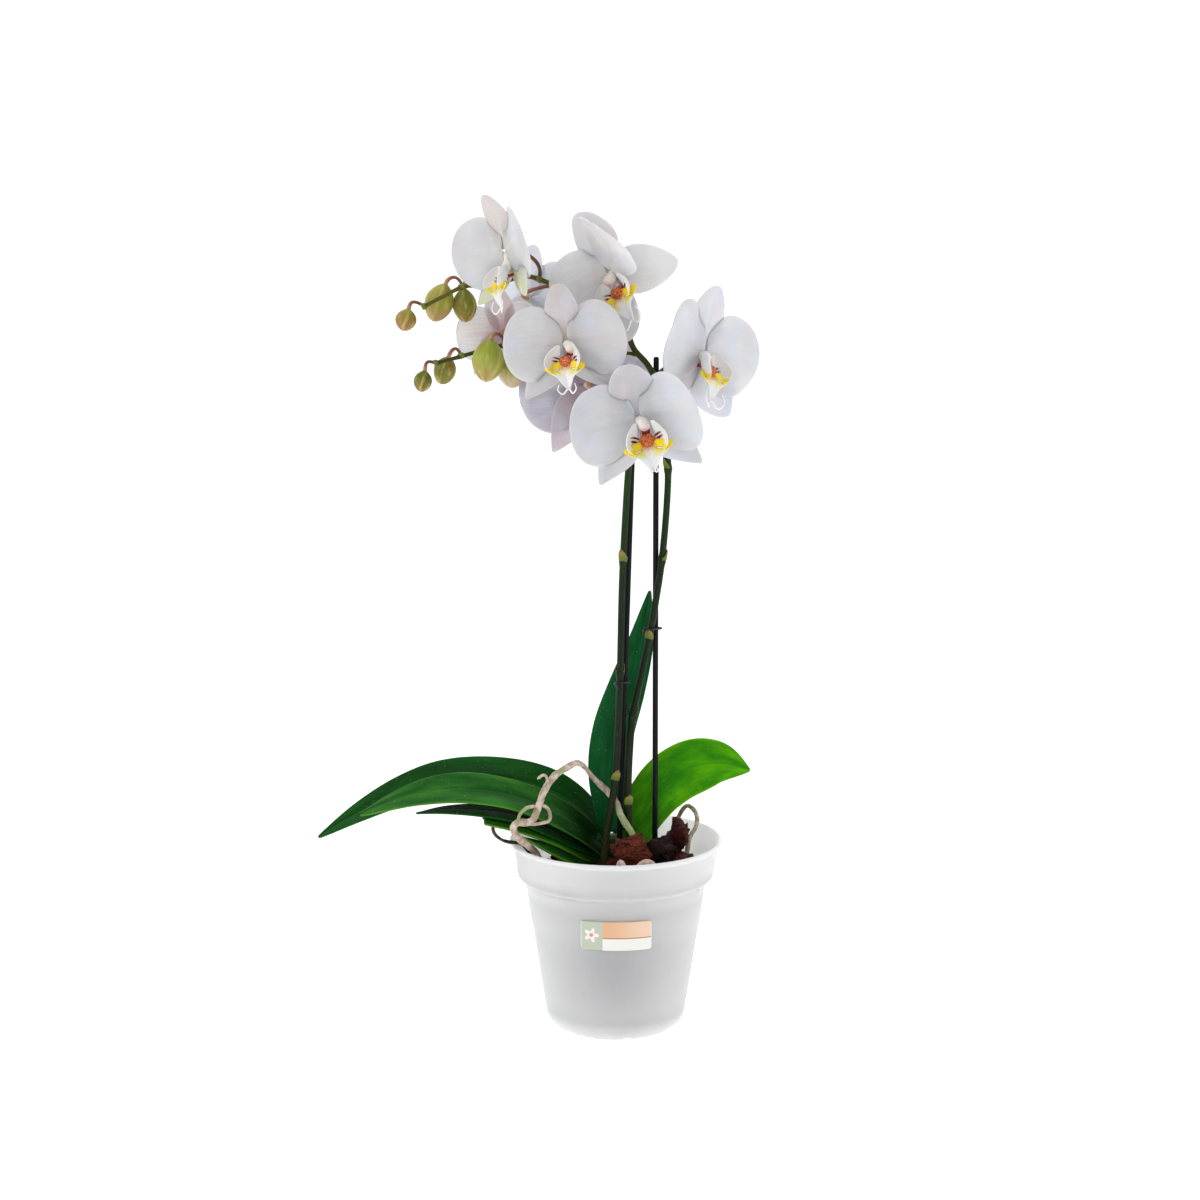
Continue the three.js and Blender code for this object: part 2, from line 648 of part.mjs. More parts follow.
// A clip: a wire ring around the stem and its stick, with a twisted tail.
function makeClips() {
  for (const [name, clip] of Object.entries(CLIPS)) {
    const [long, short] = clip.reach;
    const ring = new THREE.TorusGeometry(1, 0.14, 4, 12);
    ring.scale(long, short, 6);
    const root = [-long, 0, 0];
    const tail = bar(root, root.map((v, i) => v + clip.tail[i]), 0.6, 4);
    const body = geometryOf(joined([ring, tail]));
    body.rotateZ(THREE.MathUtils.degToRad(clip.turn));
    body.translate(...clip.at);
    addPiece(name, body, COLOURS.stake, { roughness: 0.5 });
  }
}

// ---------------------------------------------------------------- spikes

// The turn that makes a bloom look where it should.
function facing({ yaw, nod, roll }) {
  const [z, x, y] = [yaw, nod, roll].map(THREE.MathUtils.degToRad);
  return new THREE.Euler(x, y, z, 'ZXY');
}

// A curved stalk from a place on the stem to a bloom's or bud's back.
function stalk(from, bend, end, arriving, radius) {
  const start = vector(from);
  const curve = new THREE.CubicBezierCurve3(
    start,
    start.clone().add(vector(bend)),
    end.clone().addScaledVector(arriving, start.distanceTo(end) * 0.35),
    end,
  );
  return tubeAlong(curve, radius, PEDICEL.sides, PEDICEL.steps);
}

function bloomStalk(bloom) {
  const backward = new THREE.Vector3(0, 1, 0).applyEuler(facing(bloom));
  const end = vector(bloom.at).addScaledVector(backward, HUB.back * bloom.size + CLEARANCE);
  return stalk(bloom.from, bloom.bend, end, backward, PEDICEL.radius);
}

function budStalk(bud) {
  const upward = vector(bud.tip).normalize().negate();
  const end = vector(bud.at).addScaledVector(upward, bud.length / 2 + CLEARANCE);
  return stalk(bud.from, bud.bend, end, upward, PEDICEL.radius * 0.85);
}

// A swollen node with a short bract that clasps the stem above it.
function stemNode(at, radius) {
  const bract = new THREE.CylinderGeometry(radius * 0.5, radius + 0.7, 8, STEM_SIDES);
  bract.rotateX(Math.PI / 2);
  bract.translate(at[0] - 0.4, at[1] - 0.5, at[2] + 2.5);
  return bract;
}

function makeSpikes() {
  for (const [name, spike] of Object.entries(SPIKES)) {
    const first = spike.lengths[0].line[0];
    const pieces = [bar([first[0], first[1], SPIKE_FOOT], first, spike.lengths[0].radius, STEM_SIDES)];
    for (const { line, radius, steps } of spike.lengths) {
      const route = [...line];
      if (line === spike.lengths[0].line) route.unshift([first[0], first[1], first[2] - 8]);
      route[route.length - 1] = extended(line.at(-2), line.at(-1), 0.6);
      pieces.push(tubeAlong(smoothLine(route), radius, STEM_SIDES, steps));
    }
    for (const node of spike.nodes) pieces.push(stemNode(node, 2));
    for (const bloom of Object.values(BLOOMS)) {
      if (bloom.spike === name) pieces.push(bloomStalk(bloom));
    }
    for (const bud of Object.values(BUDS)) {
      if (bud.spike === name) pieces.push(budStalk(bud));
    }
    if (name === STUB.spike) {
      pieces.push(tubeAlong(smoothLine(STUB.line), STUB.radius, PEDICEL.sides, 4));
    }
    addPiece(name, geometryOf(joined(pieces)), COLOURS.stem, { roughness: 0.55 });
  }
}

// ---------------------------------------------------------------- blooms

// A sepal or petal: an oval on a short claw, from which it leans forward. With no turn it
// points up, and its upper face looks forward, along -Y.
function tepal({ length, width, back, bend, curl, point }, turn, lean, across, along) {
  const spin = new THREE.Matrix4().makeRotationY(THREE.MathUtils.degToRad(turn));
  const tilt = THREE.MathUtils.degToRad(lean);
  const surface = (s, t) => {
    const sweep = Math.PI * (0.07 + 0.88 * t);
    const reach = (1 - Math.cos(sweep)) / 2;
    const half = (width / 2) * Math.sin(sweep) * (1 - point * reach * reach);
    const beyond = Math.max(length * reach - TEPAL.clawEnd, 0);
    const forward = bend * length * reach * reach - curl * width * s * s * Math.sin(sweep);
    const out = length * reach - beyond + beyond * Math.cos(tilt) - forward * Math.sin(tilt);
    const depth = back - beyond * Math.sin(tilt) - forward * Math.cos(tilt);
    return new THREE.Vector3(s * half, depth, TEPAL.rootRadius + out).applyMatrix4(spin);
  };
  return blade(surface, across, along, TEPAL.thickness);
}

function bloomGeometry({ lean, turns = TURNS }) {
  const hub = new THREE.CylinderGeometry(HUB.backRadius, HUB.frontRadius, HUB.back - HUB.front, 6);
  hub.translate(0, (HUB.back + HUB.front) / 2, 0);
  const column = new THREE.CapsuleGeometry(COLUMN.radius, COLUMN.length, 1, 6);
  column.translate(0, -COLUMN.length / 2 - 1, 0);
  column.rotateX(THREE.MathUtils.degToRad(-COLUMN.rise));
  column.scale(1.1, 1, 1);
  return geometryOf(joined([
    hub,
    column,
    tepal(PETAL, turns[0], lean[0], 4, 5),
    tepal(PETAL, turns[1], lean[1], 4, 5),
    tepal(DORSAL, turns[2], lean[2], 2, 4),
    tepal(LATERAL, turns[3], lean[3], 2, 4),
    tepal(LATERAL, turns[4], lean[4], 2, 4),
  ]));
}

// The lip: a short channel that widens into an arrowhead, two side lobes that stand up like
// ears beside the column, a callus and two thin tendrils at the tip.
function lipGeometry() {
  const trough = [[0, -0.5, -3.07], [0, -6.2, -4.4], [0, -9.4, -7.4], [0, -10.8, -12.5], [0, -10.6, -18.6]];
  const floor = new THREE.CatmullRomCurve3(trough.map(vector));
  const floorHalf = (t) => 1.8 + 5.6 * Math.exp(-(((t - 0.58) / 0.2) ** 2)) - 1.1 * t;
  const middle = (s, t) => {
    const along = floor.getTangent(t);
    const up = new THREE.Vector3(0, along.z, -along.y);
    return floor.getPoint(t).add(new THREE.Vector3(s * floorHalf(t), 0, 0))
      .addScaledVector(up, 0.3 * s * s * floorHalf(t));
  };
  const callus = new THREE.SphereGeometry(1, 5, 3);
  callus.scale(2.3, 2, 2);
  callus.translate(0, -7.6, -5);
  const pieces = [blade(middle, 2, 5, TEPAL.thickness), callus];
  for (const side of [-1, 1]) {
    const rise = [
      [4.4 * side, -12.6, -9.4],
      [5.8 * side, -8.8, -7.4],
      [6.9 * side, -6.9, -3.6],
      [6.2 * side, -7.9, 1],
    ];
    const ear = new THREE.CatmullRomCurve3(rise.map(vector));
    const outward = new THREE.Vector3(0.88 * side, -0.47, 0);
    const lobeHalf = (t) => 1.1 + 1.7 * Math.sin(Math.PI * Math.min(t, 0.92));
    const lobe = (s, t) => ear.getPoint(t).addScaledVector(outward, s * side * lobeHalf(t));
    pieces.push(blade(lobe, 1, 3, TEPAL.thickness));
    const curl = [
      [0.4 * side, -10.7, -17.8],
      [2.3 * side, -12.2, -19.6],
      [4.2 * side, -12.4, -17.8],
      [3.6 * side, -11.6, -15.6],
    ];
    pieces.push(tubeAlong(new THREE.CatmullRomCurve3(curl.map(vector)), 0.4, 3, 3));
  }
  return geometryOf(joined(pieces)).scale(LIP_SCALE, LIP_SCALE, LIP_SCALE);
}

function makeBlooms() {
  const lip = lipGeometry();
  for (const [name, bloom] of Object.entries(BLOOMS)) {
    const place = new THREE.Group();
    place.position.set(...bloom.at);
    place.rotation.copy(facing(bloom));
    place.scale.setScalar(bloom.size);
    addPiece(name, bloomGeometry(bloom), COLOURS.petal, { roughness: 0.55 }, place);
    addPiece(name.replace('bloom', 'lip'), lip, COLOURS.lip, { roughness: 0.5 }, place);
    plant.add(place);
  }
}

// ---------------------------------------------------------------- buds, leaves, crown, roots

function makeBuds() {
  for (const [name, { at, tip, width, length }] of Object.entries(BUDS)) {
    const profile = [[0, 0], [0.16, 0.02], [0.4, 0.2], [0.5, 0.48], [0.4, 0.76], [0.2, 0.93], [0, 1]];
    const bud = turned(profile.map(([r, h]) => [r * width, (h - 0.5) * length]), 8);
    const towards = vector(tip).normalize();
    bud.applyQuaternion(new THREE.Quaternion().setFromUnitVectors(new THREE.Vector3(0, 0, 1), towards));
    bud.translate(...at);
    addPiece(name, bud, COLOURS.bud, { roughness: 0.55 });
  }
}

// A strap leaf along its midrib, narrow at the crown, folded along the middle.
function leafGeometry({ line, side, halfWidth, widest, fold, along, tip = 0.04 }) {
  const midrib = smoothLine(line);
  const toNear = vector(side);
  const half = (t) => {
    const rise = Math.min(t / widest, 1);
    const fall = Math.max((t - widest) / (1 - widest), 0);
    return halfWidth * (0.3 + 0.7 * Math.sin((Math.PI / 2) * rise)) * (1 - (1 - tip) * fall ** 2.2);
  };
  const surface = (s, t) => {
    const ahead = midrib.getTangentAt(t);
    const across = toNear.clone().addScaledVector(ahead, -toNear.dot(ahead)).normalize();
    const up = across.clone().cross(ahead).normalize();
    return midrib.getPointAt(t).addScaledVector(across, s * half(t))
      .addScaledVector(up, fold * Math.abs(s) * half(t) * (up.z < -0.3 ? -1 : 1));
  };
  return blade(surface, 4, along, LEAF_THICKNESS);
}

function makeLeaves() {
  for (const [name, leaf] of Object.entries(LEAVES)) {
    addPiece(name, leafGeometry(leaf), leaf.colour, { roughness: 0.4 });
  }
  const crown = new THREE.CylinderGeometry(CROWN.radius * 0.9, CROWN.radius, CROWN.top - CROWN.foot, 10);
  crown.rotateX(Math.PI / 2);
  crown.translate(...CROWN.at, (CROWN.top + CROWN.foot) / 2);
  addPiece('crown', crown, COLOURS.crown, { roughness: 0.6 });
}

function makeRoots() {
  for (const [name, root] of Object.entries(ROOTS)) {
    const trunk = tubeAlong(smoothLine(root.line), root.radius, ROOT_SIDES, root.steps);
    const branches = root.branches.map((b) => tubeAlong(smoothLine(b.line), b.radius, 4, b.steps));
    addPiece(name, geometryOf(joined([trunk, ...branches])), root.colour, { roughness: 0.8 });
  }
}

makePot();
makeLabel();
makeBark();
makeStakes();
makeClips();
makeSpikes();
makeBlooms();
makeBuds();
makeLeaves();
makeRoots();

export default plant;
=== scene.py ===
# A white moth orchid with two flower spikes, tied to two sticks, in a frosted plastic grow pot
# filled with bark. The sections follow the plant as it is put together, from the pot upwards.
# Sizes in the sections are millimetres, and settle() turns each piece into metres.

import math
import random
from bisect import bisect

import bmesh
import bpy
from mathutils import Matrix, Vector, noise


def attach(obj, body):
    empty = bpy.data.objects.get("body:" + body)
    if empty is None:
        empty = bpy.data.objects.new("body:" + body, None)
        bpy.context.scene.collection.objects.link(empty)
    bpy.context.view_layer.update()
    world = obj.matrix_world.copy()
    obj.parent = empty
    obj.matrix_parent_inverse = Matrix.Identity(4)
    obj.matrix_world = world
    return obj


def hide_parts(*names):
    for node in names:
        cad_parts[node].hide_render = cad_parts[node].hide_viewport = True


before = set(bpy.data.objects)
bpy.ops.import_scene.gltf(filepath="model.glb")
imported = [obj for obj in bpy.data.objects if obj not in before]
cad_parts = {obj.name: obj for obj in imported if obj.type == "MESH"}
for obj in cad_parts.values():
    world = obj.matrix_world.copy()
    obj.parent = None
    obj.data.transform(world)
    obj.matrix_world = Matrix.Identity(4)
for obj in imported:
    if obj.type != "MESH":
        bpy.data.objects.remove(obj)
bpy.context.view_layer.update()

# ---------------------------------------------------------------- camera
# The photograph's view: a 70 mm lens 1.4 m in front of the pot, which looks down by nine degrees.

lens = bpy.data.cameras.new("camera")
lens.lens = 70
lens.sensor_width = 36
camera = bpy.data.objects.new("camera", lens)
camera.location = (-0.00964, -1.3913, 0.4935)
camera.rotation_euler = (math.pi / 2 - 0.162, 0, 0)
bpy.context.scene.collection.objects.link(camera)
bpy.context.scene.camera = camera

# ---------------------------------------------------------------- grow pot
# One moulding of frosted, cloudy white plastic: a tapered body with a rounded foot and shallow drain
# slots, a stacking ridge, a wider collar and a small rolled rim. It is turned from its section.
# Its colour holds painted light and shade: a lighter foot, a light band under the collar, a dark
# band at the collar's step, a painted shadow down the middle of the body and a lighter inner wall.


def paint(red, green, blue):
    """A colour as it looks on a screen, each part from 0 to 255, in the shader's own scale."""
    return tuple(((part / 255 + 0.055) / 1.055) ** 2.4 for part in (red, green, blue))


class Value:
    """A number, colour or vector inside a finish. Sums on numbers add the nodes that do them."""

    def __init__(self, finish, socket):
        self.finish = finish
        self.socket = socket

    def work(self, operation, *terms):
        return self.finish.node("ShaderNodeMath", {"operation": operation}, dict(enumerate(terms)))

    def __add__(self, other):
        return self.work("ADD", self, other)

    def __sub__(self, other):
        return self.work("SUBTRACT", self, other)

    def __rsub__(self, other):
        return self.work("SUBTRACT", other, self)

    def __mul__(self, other):
        return self.work("MULTIPLY", self, other)

    def __truediv__(self, other):
        return self.work("DIVIDE", self, other)

    def __pow__(self, other):
        return self.work("POWER", self, other)

    def __abs__(self):
        return self.work("ABSOLUTE", self)

    __radd__, __rmul__ = __add__, __mul__

    def zigzag(self):
        """Climbs from 0 to a half and falls back again, over each step of 1."""
        return self.work("PINGPONG", self, 0.5)

    def rise(self, low, high):
        """0 below low and 1 above high, with a soft slope between; it falls where low > high."""
        settings = {"interpolation_type": "SMOOTHSTEP"}
        return self.finish.node("ShaderNodeMapRange", settings, {0: self, 1: low, 2: high})


class Finish:
    """A material: one principled shader, its constant values, and the nodes that vary the rest.
    glow is how light sinks in: its share, its reach by colour, and its depth in millimetres."""

    def __init__(self, name, shine=0.5, glow=(0, (1, 1, 1), 1), **constants):
        self.material = bpy.data.materials.new(name)
        self.material.use_nodes = True
        self.tree = self.material.node_tree
        self.shader = self.tree.nodes["Principled BSDF"]
        values = {"Specular IOR Level": shine, "Subsurface Weight": glow[0],
                  "Subsurface Radius": glow[1], "Subsurface Scale": glow[2] / 1000}
        values.update((key.replace("_", " ").title(), value) for key, value in constants.items())
        for socket, value in values.items():
            self.shader.inputs[socket].default_value = value

    def node(self, kind, settings=None, sockets=None, output=0):
        """Adds a node. Its settings come first, then the values and links of its sockets."""
        node = self.tree.nodes.new(kind)
        for name, setting in (settings or {}).items():
            if name != "stops":
                setattr(node, name, setting)
                continue
            for place, shade in setting[2:]:
                node.color_ramp.elements.new(place)
            for element, (place, shade) in zip(node.color_ramp.elements, setting):
                element.position = place
                element.color = (*paint(*shade), 1)
        for key, value in (sockets or {}).items():
            self.join(value, node.inputs[key])
        return Value(self, node.outputs[output])

    def join(self, value, socket):
        if isinstance(value, Value):
            self.tree.links.new(value.socket, socket)
        elif socket.type == "RGBA":
            socket.default_value = (*paint(*value), 1)
        else:
            socket.default_value = value

    def feed(self, colour, roughness, height, depth):
        """Gives the shader its colour, its roughness, and a relief: a height from 0 to 1 that
        stands for a depth in millimetres."""
        sockets = {"Strength": 1, "Distance": depth / 1000, "Height": height}
        relief = self.node("ShaderNodeBump", None, sockets)
        for name, value in (("Base Color", colour), ("Roughness", roughness), ("Normal", relief)):
            self.join(value, self.shader.inputs[name])

    def spot(self, stretch=(1, 1, 1)):
        """The place on the piece in millimetres, each way multiplied by stretch."""
        place = self.node("ShaderNodeTexCoord", output="Object")
        scale = tuple(1000 * part for part in stretch)
        return self.node("ShaderNodeVectorMath", {"operation": "MULTIPLY"}, {0: place, 1: scale})

    def parts(self, vector):
        """The three numbers of a vector."""
        return [self.node("ShaderNodeSeparateXYZ", sockets={0: vector}, output=k) for k in range(3)]

    def chart(self):
        """The piece's own map: how far across and how far along it, each from 0 to 1."""
        return self.parts(self.node("ShaderNodeUVMap", {"uv_map": "map"}))[:2]

    def clouds(self, vector, size, detail, rough=0.55, bend=0):
        """Cloudy variation from 0 to 1 in patches of about that size."""
        sockets = {"Vector": vector, "Scale": 1 / size, "Detail": detail, "Roughness": rough}
        return self.node("ShaderNodeTexNoise", None, {**sockets, "Distortion": bend})

    def grain(self, size, detail=3, stretch=(1, 1, 1), **kind):
        """Clouds of a size in millimetres, drawn out along an axis whose stretch is under 1."""
        return self.clouds(self.spot(stretch), size, detail, **kind)

    def strands(self, wide, long, detail=3):
        """Clouds on the piece's own map, about so many of them across and along it."""
        across, along = self.chart()
        place = self.node("ShaderNodeCombineXYZ", None, {0: across * wide, 1: along * long, 2: 0})
        return self.clouds(place, 1, detail)

    def ramp(self, value, *stops):
        """Colours along a value: each stop is a place from 0 to 1 and a colour."""
        return self.node("ShaderNodeValToRGB", {"stops": stops}, {0: value})

    def mix(self, share, first, second):
        """The first colour, with a share of the second mixed into it."""
        sockets = {0: share, 6: first, 7: second}
        return self.node("ShaderNodeMix", {"data_type": "RGBA"}, sockets, output=2)

    def coats(self, colour, *coats):
        """A colour with others laid over it in turn, each by its share."""
        for share, shade in coats:
            colour = self.mix(share, colour, shade)
        return colour


def settle(name, bm, finishes, slot, *nodes, lay=None, thick=0, rounds=0):
    """Lays a mesh in millimetres as a piece of the plant, which stands for those CAD nodes."""
    if lay is not None:
        bmesh.ops.transform(bm, matrix=lay, verts=bm.verts)
    bmesh.ops.scale(bm, vec=(0.001, 0.001, 0.001), verts=bm.verts)
    mesh = bpy.data.meshes.new(name)
    bm.to_mesh(mesh)
    bm.free()
    mesh.shade_smooth()
    for finish in finishes:
        mesh.materials.append(finish.material)
    piece = bpy.data.objects.new(name, mesh)
    bpy.context.scene.collection.objects.link(piece)
    if thick:
        wall = piece.modifiers.new("wall", "SOLIDIFY")
        wall.thickness = thick / 1000
        wall.offset = 0
    if rounds:
        smooth = piece.modifiers.new("rounding", "SUBSURF")
        smooth.levels = smooth.render_levels = rounds
    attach(piece, "root")
    if nodes:
        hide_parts(*nodes)


POT_HEIGHT = 118.5
POT_WALL = 1.4
FOOT_FLAT = 29.2  # radius of the flat underneath
FOOT_ROUNDING = (13.1, 12.3)
SLOTS = 8
SLOT_ENDS = (31, 46)  # radii between which each slot is cut
SLOT_WIDTH = 6
SLOT_HEIGHT = 3


def body_radius(height):
    """Outer radius of the pot's tapered body."""
    return 41.5 + 14.1 * height / 94


def quarter(centre, reach, start, end, count=8):
    """Points of a round corner in the pot's section, by angle from straight outwards."""
    turns = [math.radians(start + (end - start) * k / count) for k in range(count + 1)]
    return [(centre[0] + reach[0] * math.cos(a), centre[1] + reach[1] * math.sin(a)) for a in turns]


def turned(bm, section, steps, closed=True):
    """Turns a section of radius and height about the upright axis."""
    corners = [bm.verts.new((radius, 0, height)) for radius, height in section]
    ends = corners[1:] + corners[:1] if closed else corners[1:]
    edges = [bm.edges.new(pair) for pair in zip(corners, ends) if pair[0] is not pair[1]]
    bmesh.ops.spin(bm, geom=corners + edges, cent=(0, 0, 0), axis=(0, 0, 1), angle=2 * math.pi,
                   steps=steps, use_merge=True)
    bmesh.ops.remove_doubles(bm, verts=bm.verts, dist=0.001)
    bmesh.ops.recalc_face_normals(bm, faces=bm.faces)


outside = [(0.01, 0), (15, 0), (24, 0), *quarter((FOOT_FLAT + 1, 12.3), FOOT_ROUNDING, -90, 6, 12)]
outside += [(body_radius(z), z) for z in (20, 30, 40, 50, 60, 65)]
outside += [(body_radius(66) + 0.3, 66.2), (body_radius(72) + 0.3, 72), (body_radius(84) + 0.15, 84)]
outside += [(55.4, 92.6), (55.6, 93.6), *quarter((56.2, 98.4), (4.2, 4.4), -84, 2, 8)]
outside += [(61.2, 105), (62.4, 113.6), (62.9, 114.8), (64.2, 115.5), (64.9, 116.5), (65, 117.6)]
outside += [(64.6, 118.3), (64, 118.5), (63.4, 118.2)]
inside = [(62.6, 116.9), (61.3, 114.4), (60, 106), (59, 99.6), (58.2, 97.4), (56.4, 95.6)]
inside += [(54.6, 94.6), (54.1, 93)]
inside += [(body_radius(z) - POT_WALL, z) for z in (84, 72, 60, 50, 40, 30, 20)]
inside += quarter((FOOT_FLAT + 1, 13.8), (11.8, 12.3), 0, -90, 10)
inside += [(24, POT_WALL), (15, POT_WALL), (0.01, POT_WALL)]

pot_mesh = bmesh.new()
turned(pot_mesh, outside + inside, 176)
for corner in pot_mesh.verts:
    reach = math.hypot(corner.co.x, corner.co.y)
    around = (math.atan2(corner.co.y, corner.co.x) / (2 * math.pi) * SLOTS - 0.25) % 1
    beside = abs(around - round(around)) * 2 * math.pi / SLOTS * reach
    if SLOT_ENDS[0] < reach < SLOT_ENDS[1] and beside < SLOT_WIDTH / 2:
        sag = max(1 - ((reach - FOOT_FLAT - 1) / FOOT_ROUNDING[0]) ** 2, 0)
        outer = corner.co.z < FOOT_ROUNDING[1] * (1 - math.sqrt(sag)) + 0.7
        corner.co.z = max(corner.co.z, SLOT_HEIGHT if outer else SLOT_HEIGHT + POT_WALL)

plastic = Finish("frosted pot plastic", 0.3, (0.7, (1, 1, 1), 14), sheen_weight=0.35, sheen_roughness=0.4)
x, y, height = plastic.parts(plastic.spot())
clouds = plastic.grain(22)
streaks = plastic.grain(2.2, 2, (1, 1, 0.02))
# Colour by height with painted light and shade: lighter towards the foot, a light band just under the collar
# and a dark band at the collar's step.
milky_and_painted_light = plastic.ramp(
    height / POT_HEIGHT,
    (0.0, (248, 248, 250)), (0.3, (243, 243, 245)), (0.7, (234, 234, 236)), (0.75, (250, 250, 251)),
    (0.788, (250, 250, 251)), (0.797, (198, 198, 200)), (0.82, (190, 190, 192)),
    (0.845, (224, 224, 226)), (0.87, (236, 236, 239)), (1.0, (232, 232, 234)),
)
# A painted shadow down the middle of the body, front and back.
painted_shadow = abs(x + 2).rise(50, 0) * height.rise(-2, 54) * height.rise(108, 60)
within = (x * x + y * y) ** 0.5 - height * 0.12
milky_and_painted_light = plastic.coats(
    milky_and_painted_light,
    (painted_shadow, (198, 198, 201)),
    # Painted light: the inner wall of the collar is made lighter.
    (within.rise(47.6, 46.8) * height.rise(94, 98), (252, 252, 253)),
    (clouds.rise(0.35, 0.75) * 0.06, (184, 184, 187)),
    (streaks.rise(0.45, 0.7) * 0.03, (250, 250, 250)),
)
frost = plastic.grain(0.5, 2) * 0.6 + streaks * 0.2
plastic.feed(milky_and_painted_light, 0.4 + clouds * 0.15, frost, 0.04)
settle("grow_pot", pot_mesh, [plastic], "pot_plastic", "pot")

# ---------------------------------------------------------------- label
# A small printed sticker on the front of the pot: coated paper with rounded corners, a peach
# band over a white one and a plain sprig at its left. It is bent round the taper of the body.

LABEL_SIZE = (43.5, 18.5)
LABEL_FOOT = 62.5
LABEL_CORNER = 1.6
LABEL_CLEAR = 0.6  # its middle from the pot's wall, past the stacking ridge


def formed(bm, across, along, place):
    """A sheet of across by along faces: place(u, v) gives its corners, u and v from 0 to 1."""
    bm.loops.layers.uv.get("map") or bm.loops.layers.uv.new("map")
    sheet = bmesh.ops.create_grid(bm, x_segments=across, y_segments=along, size=1, calc_uvs=True)
    for corner in sheet["verts"]:
        corner.co = place((corner.co.x + 1) / 2, (corner.co.y + 1) / 2)
    return sheet["verts"]


def label_place(u, v):
    x, z = (u - 0.5) * LABEL_SIZE[0], (v - 0.5) * LABEL_SIZE[1]
    past = Vector((abs(x) - LABEL_SIZE[0] / 2 + LABEL_CORNER, abs(z) - LABEL_SIZE[1] / 2 + LABEL_CORNER))
    if min(past) > 0 and past.length > LABEL_CORNER:
        pull = past - past.normalized() * LABEL_CORNER
        x, z = x - math.copysign(pull.x, x), z - math.copysign(pull.y, z)
    tall = LABEL_FOOT + LABEL_SIZE[1] / 2 + z
    radius = body_radius(tall) + LABEL_CLEAR
    return radius * math.sin(x / radius), -radius * math.cos(x / radius), tall


label_mesh = bmesh.new()
formed(label_mesh, 44, 24, label_place)
sticker = Finish("printed sticker", coat_weight=0.25, coat_roughness=0.2)
across, along = sticker.chart()
peach = sticker.mix(across.rise(0.3, 1), (226, 176, 134), (240, 206, 178))
left, up = (across - 0.155) * 2.35, along - 0.52
reach = (left * left + up * up) ** 0.5
petals = 0.2 + 0.07 * up.work("COSINE", up.work("ARCTAN2", up, left) * 5)
edge_gap = 0.5 - abs(across - 0.5)
print_colour = sticker.coats(
    (240, 238, 233),
    (along.rise(0.4, 0.41), peach),
    (along.rise(0.405, 0.415) * along.rise(0.45, 0.44), (176, 120, 92)),
    (across.rise(0.315, 0.31), (186, 196, 176)),
    ((petals - reach).rise(0, 0.02), (244, 232, 236)),
    (reach.rise(0.075, 0.055), (214, 150, 60)),
    (edge_gap.rise(0.012, 0.008), (244, 242, 238)),
)
sticker.feed(print_colour, 0.32, sticker.grain(0.35, 2), 0.03)
settle("label_sticker", label_mesh, [sticker], "label", "label", thick=0.3)

# ---------------------------------------------------------------- bark
# Fir bark fills the pot to its collar. A mound closes the pot, and rough chips lie on it, with
# larger ones that stand up around the stems. Each chip is a cube that is split and worn.

BARK_EDGE = 92
BARK_MIDDLE = 99
CHIPS = 190
CHIP_TURN = 2.39996  # from each small chip to the next, so that they lie evenly round the pot
bark_random = random.Random(23)
# The large chips: centre, size, turn in degrees, and paleness from 0 to 1.
LARGE_CHIPS = [
    ((9.6, -30, 115.5), (19, 12, 20), 12, 0.85), ((37, 0, 116), (11, 11, 25), -20, 0.6),
    ((26.9, -12, 112), (15, 13, 17), -35, 0.3), ((40, -15, 104), (18, 14, 13), 15, 0.5),
    ((34, -26, 102), (16, 13, 12), -15, 0.2), ((-21, -40, 100), (17, 12, 11), 35, 0.5),
    ((-30, 26, 101), (19, 14, 15), 60, 0.4), ((14, 37, 101), (21, 14, 14), 5, 0.55),
]

block_mesh = bmesh.new()
bmesh.ops.create_cube(block_mesh, size=1)
bmesh.ops.subdivide_edges(block_mesh, edges=block_mesh.edges[:], cuts=7, use_grid_fill=True)
chip_block = bpy.data.meshes.new("chip block")
block_mesh.to_mesh(chip_block)
block_mesh.free()


def chip(bm, at, size, turn, shade):
    """A piece of bark: a split cube, worn round, with uneven layers along it."""
    layer = bm.verts.layers.float.get("shade") or bm.verts.layers.float.new("shade")
    before = len(bm.verts)
    bm.from_mesh(chip_block)
    bm.verts.ensure_lookup_table()
    swing = Vector((bark_random.uniform(-99, 99), at[0], at[1]))
    tilt = [Matrix.Rotation(bark_random.uniform(-0.45, 0.45), 3, axis) for axis in "XY"]
    turning = Matrix.Rotation(math.radians(turn), 3, "Z") @ tilt[0] @ tilt[1]
    for corner in bm.verts[before:]:
        flat = corner.co.copy()
        worn = flat.lerp(flat.normalized() * 0.58, 0.5)
        rough = noise.noise(flat * 1.7 + swing) * 0.42 + noise.noise(flat * 4.5 + swing) * 0.3
        rough += noise.noise(Vector((flat.x * 4, flat.y * 9, flat.z * 9)) + swing) * 0.22
        layers = 0.13 * math.copysign(1, noise.noise(Vector((flat.x, 0, flat.z * 5)) + swing))
        worn *= 1 + rough + layers * (1 - abs(flat.z))
        corner.co = turning @ Vector([part * side for part, side in zip(worn, size)]) + Vector(at)
        corner[layer] = shade


